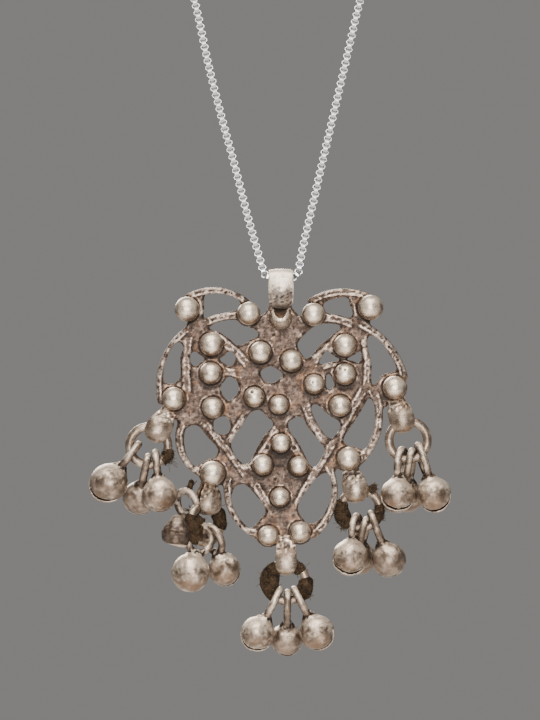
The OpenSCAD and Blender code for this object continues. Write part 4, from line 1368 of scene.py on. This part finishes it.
# Columns: piece, node it stands for, ring, first and last place on the ring, half width across the
# ring, half depth, how far it hangs inside the ring's wire, turns
WINDINGS = [
    ("old_thread_left", None, 0, 42, 80, 1.2, 1.1, -0.35, 12),
    ("old_thread_bottom_left", "thread_bottom_left", 2, -154, -30, 1.72, 1.2, 0.34, 44),
    ("old_thread_bottom_right", "thread_bottom_right", 2, 40, 102, 1.55, 1.2, -0.05, 24),
    ("old_thread_bottom_top", "thread_bottom_right", 2, 122, 164, 1.25, 1.1, 0.2, 12),
    ("old_thread_lower_left", "thread_lower_left", 1, 70, 136, 1.45, 1.2, 0.15, 22),
    ("old_thread_lower_left_foot", "thread_lower_left", 1, -120, -26, 2.0, 1.1, 0.6, 34),
    ("old_thread_lower_right", "thread_lower_right", 4, -116, -34, 1.5, 1.2, 0.0, 26),
    ("old_thread_lower_right_side", "thread_lower_right", 4, 52, 104, 0.98, 0.95, 0.0, 14),
    ("old_thread_lower_right_tuft", "thread_lower_right", 4, 140, 158, 1.1, 1.0, -0.5, 7),
]
# Each layer goes back over the one below. Columns: share of the winding's thickness, of its turns
LAYERS = [(0.62, 1.0), (0.80, 0.9), (0.92, 0.95), (1.0, 0.8)]


def strands(paths, radius, resolution):
    """Round strands along paths, as one mesh."""
    curve = bpy.data.curves.new("strands", "CURVE")
    curve.dimensions = "3D"
    curve.bevel_depth = radius
    curve.bevel_resolution = resolution
    curve.use_fill_caps = True
    for path in paths:
        line = curve.splines.new("POLY")
        line.points.add(len(path) - 1)
        for point, place in zip(line.points, path):
            point.co = (*place, 1)
    return worked_in(bpy.data.objects.new("strands", curve))


def stray(amount=1.0):
    """A small random vector."""
    return Vector(draws.normal(size=3)) * amount


def loose_fibres(middles, count, length, reach_out):
    """Short curved fibres that stand off a winding, most of them in a few tufts."""
    paths = []
    tufts = [(Vector(middles[draws.integers(len(middles))]), stray().normalized()) for _ in range(3)]
    for i in range(count):
        if i % 3:
            start, way = tufts[i % 9 // 3]
            heading = (way + stray(0.3)).normalized()
            start = start + stray(0.16)
        else:
            start = Vector(middles[draws.integers(len(middles))])
            heading = stray().normalized()
        bend = stray(0.5)
        long = length * draws.uniform(0.35, 1.0)
        first = start + heading * reach_out
        paths.append([
            first + heading * long * t + bend * long * t * t * 0.6 for t in along_fibre])
    return paths


def thread_ends(middles, count):
    """Ends of the thread that stand off a winding, a few strands in each."""
    paths = []
    for _ in range(count):
        start = Vector(middles[draws.integers(len(middles) // 2, len(middles))])
        heading = Vector(draws.normal(size=3) * np.array((1, 0.4, 1))).normalized()
        bend = stray(0.6)
        for _ in range(4):
            own = (heading + stray(0.25)).normalized()
            long = draws.uniform(0.5, 1.0)
            paths.append([
                start + own * long * t + bend * long * t * t for t in along_fibre])
    return paths


def frayed(name, paths, ends, fibres):
    """A winding with its ends and fibres as one piece; they are drier than the rest."""
    parts = [strands(paths, thread_r, 1), strands(ends, end_r, 1), strands(fibres, fibre_r, 0)]
    dry = np.repeat((0.0, 1.0, 0.6), [len(part.vertices) for part in parts])
    frayed_bm = bmesh.new()
    for part in parts:
        frayed_bm.from_mesh(part)
    piece = settled(name, frayed_bm)
    set_tone(piece, dry=dry)
    return piece


def cotton():
    """Brown cotton: dusty in patches, lighter on the ply, pale and dry at its ends and fibres."""
    material, tree, shader = new_finish("old_thread")
    dust = cloud(tree, 900, detail=5)
    ply = cloud(tree, 5200, detail=3, roughness=0.6)
    dark, dusty = (0.014, 0.009, 0.006, 1), (0.046, 0.029, 0.017, 1)
    light, dried = (0.115, 0.080, 0.047, 1), (0.125, 0.092, 0.058, 1)
    base = blend_colours(tree, spread(tree, dust, 0.38, 0.66), dark, dusty)
    base = blend_colours(tree, spread(tree, ply, 0.5, 0.75), base, light)
    base = blend_colours(tree, times(tree, tone(tree, "dry"), 0.75), base, dried)
    tree.links.new(base, shader.inputs["Base Color"])
    shader.inputs["Roughness"].default_value = 0.95
    shader.inputs["Specular IOR Level"].default_value = 0.1
    dent_and_grain(tree, shader, ply, 0.00006)
    return material


def wound_layer(number, layer, k, first, last, wide, deep_by, inward, turns):
    """The path of one layer of a winding, round the wire and along it between two places."""
    share_of_thickness, share_of_turns = LAYERS[layer]
    layer_turns = turns * share_of_turns
    steps = int(layer_turns * steps_per_turn)
    edge = 0.01 + 0.012 * layer
    path = []
    for i in range(steps + 1):
        s = i / steps
        along = s if layer % 2 == 0 else 1 - s
        part_way = edge + (1 - 2 * edge) * along
        place = radians(first + (last - first) * part_way)
        wind = 2 * pi * layer_turns * s + layer * 2.1
        # A winding is thinner at its ends, and never thinner than the wire in it.
        fullness = sin(pi * part_way) ** 0.22
        swell = (0.15 + 0.85 * fullness) * (1 + 0.07 * sin(9 * part_way + number + layer))
        across_ring = max(ring_wire + off_wire, wide * share_of_thickness * swell) - thread_r
        in_depth = max(ring_wire + off_wire, deep_by * share_of_thickness * swell) - thread_r
        slant = 0.10 * sin(3.1 * layer + 7 * part_way)
        outward = Vector((sin(place), 0, -cos(place)))
        centre = outward * (ring_r - inward * fullness)
        path.append(ring_frame(k) @ (centre + outward * (across_ring * cos(wind)) + Vector((
            slant * cos(place), in_depth * sin(wind), slant * sin(place)))))
    return path


thread_cloth = cotton()
for number, (name, node, *row) in enumerate(WINDINGS):
    paths = [wound_layer(number, layer, *row) for layer in range(len(LAYERS))]
    middles = [point for path in paths for point in path]
    winding = frayed(
        name, paths, thread_ends(middles, count=2),
        loose_fibres(middles, count=24, length=1.5, reach_out=0.02)
        + loose_fibres(middles, count=150, length=0.8, reach_out=0.0))
    dress(winding, thread_cloth)
    if node:
        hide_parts(node)
    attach(winding, "pendant")

# Tie: the same cotton, wound a few times round the crushed bell's loop and its ring's wire to
# hold them together. A tuft of it is left higher on the loop.
tie_steps = 240
# Columns: piece, middle, lean, turn, half sizes and length of the coil, turns
TIES = [
    ("old_thread_tie", (-15.3, 0.5, -43.6), 34, 11, 1.5, 2.0, 1.7, 11),
    ("old_thread_tie_tuft", (-16.4, 1.4, -37.8), 105, 0, 1.15, 1.0, 0.9, 6),
]
for name, middle, lean, turn, wide, deep_by, long, turns in TIES:
    tie_frame = Matrix.Translation(middle) @ turned(lean, "Y") @ turned(turn, "Z")
    tie_path = []
    for i in range(tie_steps + 1):
        wind = 2 * pi * turns * i / tie_steps
        swell = 0.85 + 0.25 * sin(pi * i / tie_steps)
        tie_path.append(tie_frame @ Vector((
            wide * swell * cos(wind), deep_by * swell * sin(wind), long * (i / tie_steps - 0.5))))
    tie = frayed(
        name, [tie_path], thread_ends(tie_path, count=2),
        loose_fibres(tie_path, count=30, length=1.0, reach_out=0.0))
    dress(tie, thread_cloth)
    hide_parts("thread_tie")
    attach(tie, "pendant")

# Box chain: square links of bright silver wire, each turned a quarter from the last and closed
# through it. It is one length, from the clasp down through the bail and back.
route_steps = 12
link_pitch = 0.665
link_width = 1.38
link_length = 1.14
link_corner = 0.41
link_side_bar = 0.255
link_end_bar = 0.2
link_depth = 0.74
# How dark a link's hole and its rounded ends are painted, as painted shade
hole_shade = 1.0
end_shade = 0.72
# Columns: x, y, z from the nape; the front's from the pivot
LEFT_NECK = [
    (-5, 0, 0), (-9, 0, -1), (-14, -1, -2), (-20, -3, -3.5), (-26, -6, -6), (-32, -10, -9),
    (-38, -15, -13), (-43, -21, -18), (-47, -28, -23), (-50, -36, -29), (-51.5, -43, -35),
    (-51.5, -49, -42), (-50, -53, -50), (-45, -58, -70), (-39, -64, -95), (-33, -70, -120),
    (-27, -76, -145),
]
LEFT_FRONT = [
    (-21, 14.5, 70), (-15.6, 10.5, 50), (-13, 8, 38), (-10.6, 6, 28.5), (-8.3, 4, 20),
    (-6.4, 2.4, 12.5), (-4.9, 1.2, 7), (-3.9, 0.5, 3.6), (-3.4, 0.2, 1.8),
    (-3, 0.05, 0.6), (-2.3, 0, 0.05), (-1.2, 0, 0),
]
RIGHT_FRONT = [
    (1.2, 0, 0), (2.3, 0, 0.05), (3, 0.05, 0.6), (3.3, 0.2, 1.8), (3.6, 0.5, 3.6),
    (4.3, 1.2, 7), (5.6, 2.4, 12.5), (7.3, 4, 20), (9.3, 6, 28.5), (11.5, 8, 38),
    (14.3, 10.5, 50), (19.6, 14.5, 70),
]
route = (
    [Vector(p) for p in LEFT_NECK] + [Vector(p) + PIVOT_MM for p in LEFT_FRONT + RIGHT_FRONT]
    + [Vector((-x, y, z)) for x, y, z in reversed(LEFT_NECK)])


def curved_route(points, steps):
    """The route as a fine line that bends smoothly through its points."""
    line = []
    for i in range(len(points) - 1):
        a, b, c, d = (points[max(0, min(len(points) - 1, i + j))] for j in (-1, 0, 1, 2))
        chord = (c - b).length
        lead = (c - a).normalized() * chord
        trail = (d - b).normalized() * chord
        for s in range(steps):
            t = s / steps
            line.append(
                b * (2 * t ** 3 - 3 * t ** 2 + 1) + lead * (t ** 3 - 2 * t ** 2 + t)
                + c * (3 * t ** 2 - 2 * t ** 3) + trail * (t ** 3 - t ** 2))
    return line + [points[-1]]


# A link starts as an eight-sided ring whose flat section runs from 1 to 3 off its middle. Its
# outside is then set to the link's length and width, and its inside that less the bars.
link_bm = bmesh.new()
strip_section = bmesh.ops.create_circle(link_bm, segments=6, radius=1)
for v in strip_section["verts"]:
    flat_to = 0.96 if abs(v.co.y) < 0.75 else 1.0
    v.co = Vector((2 + np.sign(round(v.co.x, 3)), 0, flat_to * np.sign(v.co.y)))
spin_round(link_bm, strip_section, 8)
link_bm.transform(turned(22.5, "Z"))
for v in link_bm.verts:
    inset = (3 - v.co.xy.length) / 2
    corner = link_corner - 0.2 * inset
    end, side = link_length / 2 - inset * link_end_bar, link_width / 2 - inset * link_side_bar
    # Of the eight points, four lie on the ends and four on the sides.
    if abs(v.co.x) > abs(v.co.y):
        side -= corner
    else:
        end -= corner
    v.co = Vector((end * np.sign(v.co.x), side * np.sign(v.co.y), v.co.z * link_depth / 2))
bmesh.ops.recalc_face_normals(link_bm, faces=link_bm.faces)
link_mesh = bpy.data.meshes.new("link")
link_bm.to_mesh(link_mesh)
link_bm.free()
# Painted shade: the faces in a link's hole are painted dark, and the outer faces of its rounded ends nearly
# as dark.
link_shade = [
    hole_shade if f.normal.xy.dot(f.center.xy) < -0.1 * f.center.xy.length
    else end_shade * (abs(f.normal.x) > 0.5)
    for f in link_mesh.polygons]

fine_route = curved_route(route, route_steps)
chain_bm = bmesh.new()
travelled = 0.0
next_link = 0.0
link_number = 0
for here, there in zip(fine_route, fine_route[1:]):
    step = (there - here).length
    along = (there - here).normalized()
    side = along.cross(Vector((0, 1, 0))).normalized()
    stand = Matrix((along, side, along.cross(side))).transposed().to_4x4()
    while next_link <= travelled + step:
        at = here.lerp(there, (next_link - travelled) / step)
        link = link_mesh.copy()
        link.transform(Matrix.Translation(at) @ stand @ turned(90 * (link_number % 2), "X"))
        chain_bm.from_mesh(link)
        bpy.data.meshes.remove(link)
        next_link += link_pitch
        link_number += 1
    travelled += step
chain = settled("box_chain", chain_bm)
chain.data.shade_flat()
set_tone(chain, "FACE", cavity=np.tile(link_shade, link_number))


def bright_silver():
    """New silver, bright on the links' faces, with painted shade in their holes and on their rounded ends.
    """
    material, tree, shader = new_finish("bright_silver")
    handling = cloud(tree, 500, detail=3)
    soft, clear, painted_shade_grey = (0.90, 0.91, 0.93, 1), (0.96, 0.97, 0.99, 1), (0.10, 0.10, 0.105, 1)
    shade = blend_colours(tree, spread(tree, handling, 0.3, 0.7), soft, clear)
    shade = blend_colours(tree, spread(tree, tone(tree, "cavity"), 0.3, 1.0), shade, painted_shade_grey)
    tree.links.new(shade, shader.inputs["Base Color"])
    shader.inputs["Metallic"].default_value = 0.8
    tree.links.new(spread(tree, handling, 0.3, 0.7, 0.24, 0.34), shader.inputs["Roughness"])
    return material


chain_silver = bright_silver()
dress(chain, chain_silver, Vector((0, 0, 0)))
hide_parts("chain")
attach(chain, "necklace")

# Clasp: a plain barrel of bright silver at the nape, with a cone at each end where the chain
# goes in. It keeps the frame's own shape and gets the chain's silver.
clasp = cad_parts["clasp"]
clasp.data.materials.clear()
clasp.data.materials.append(chain_silver)
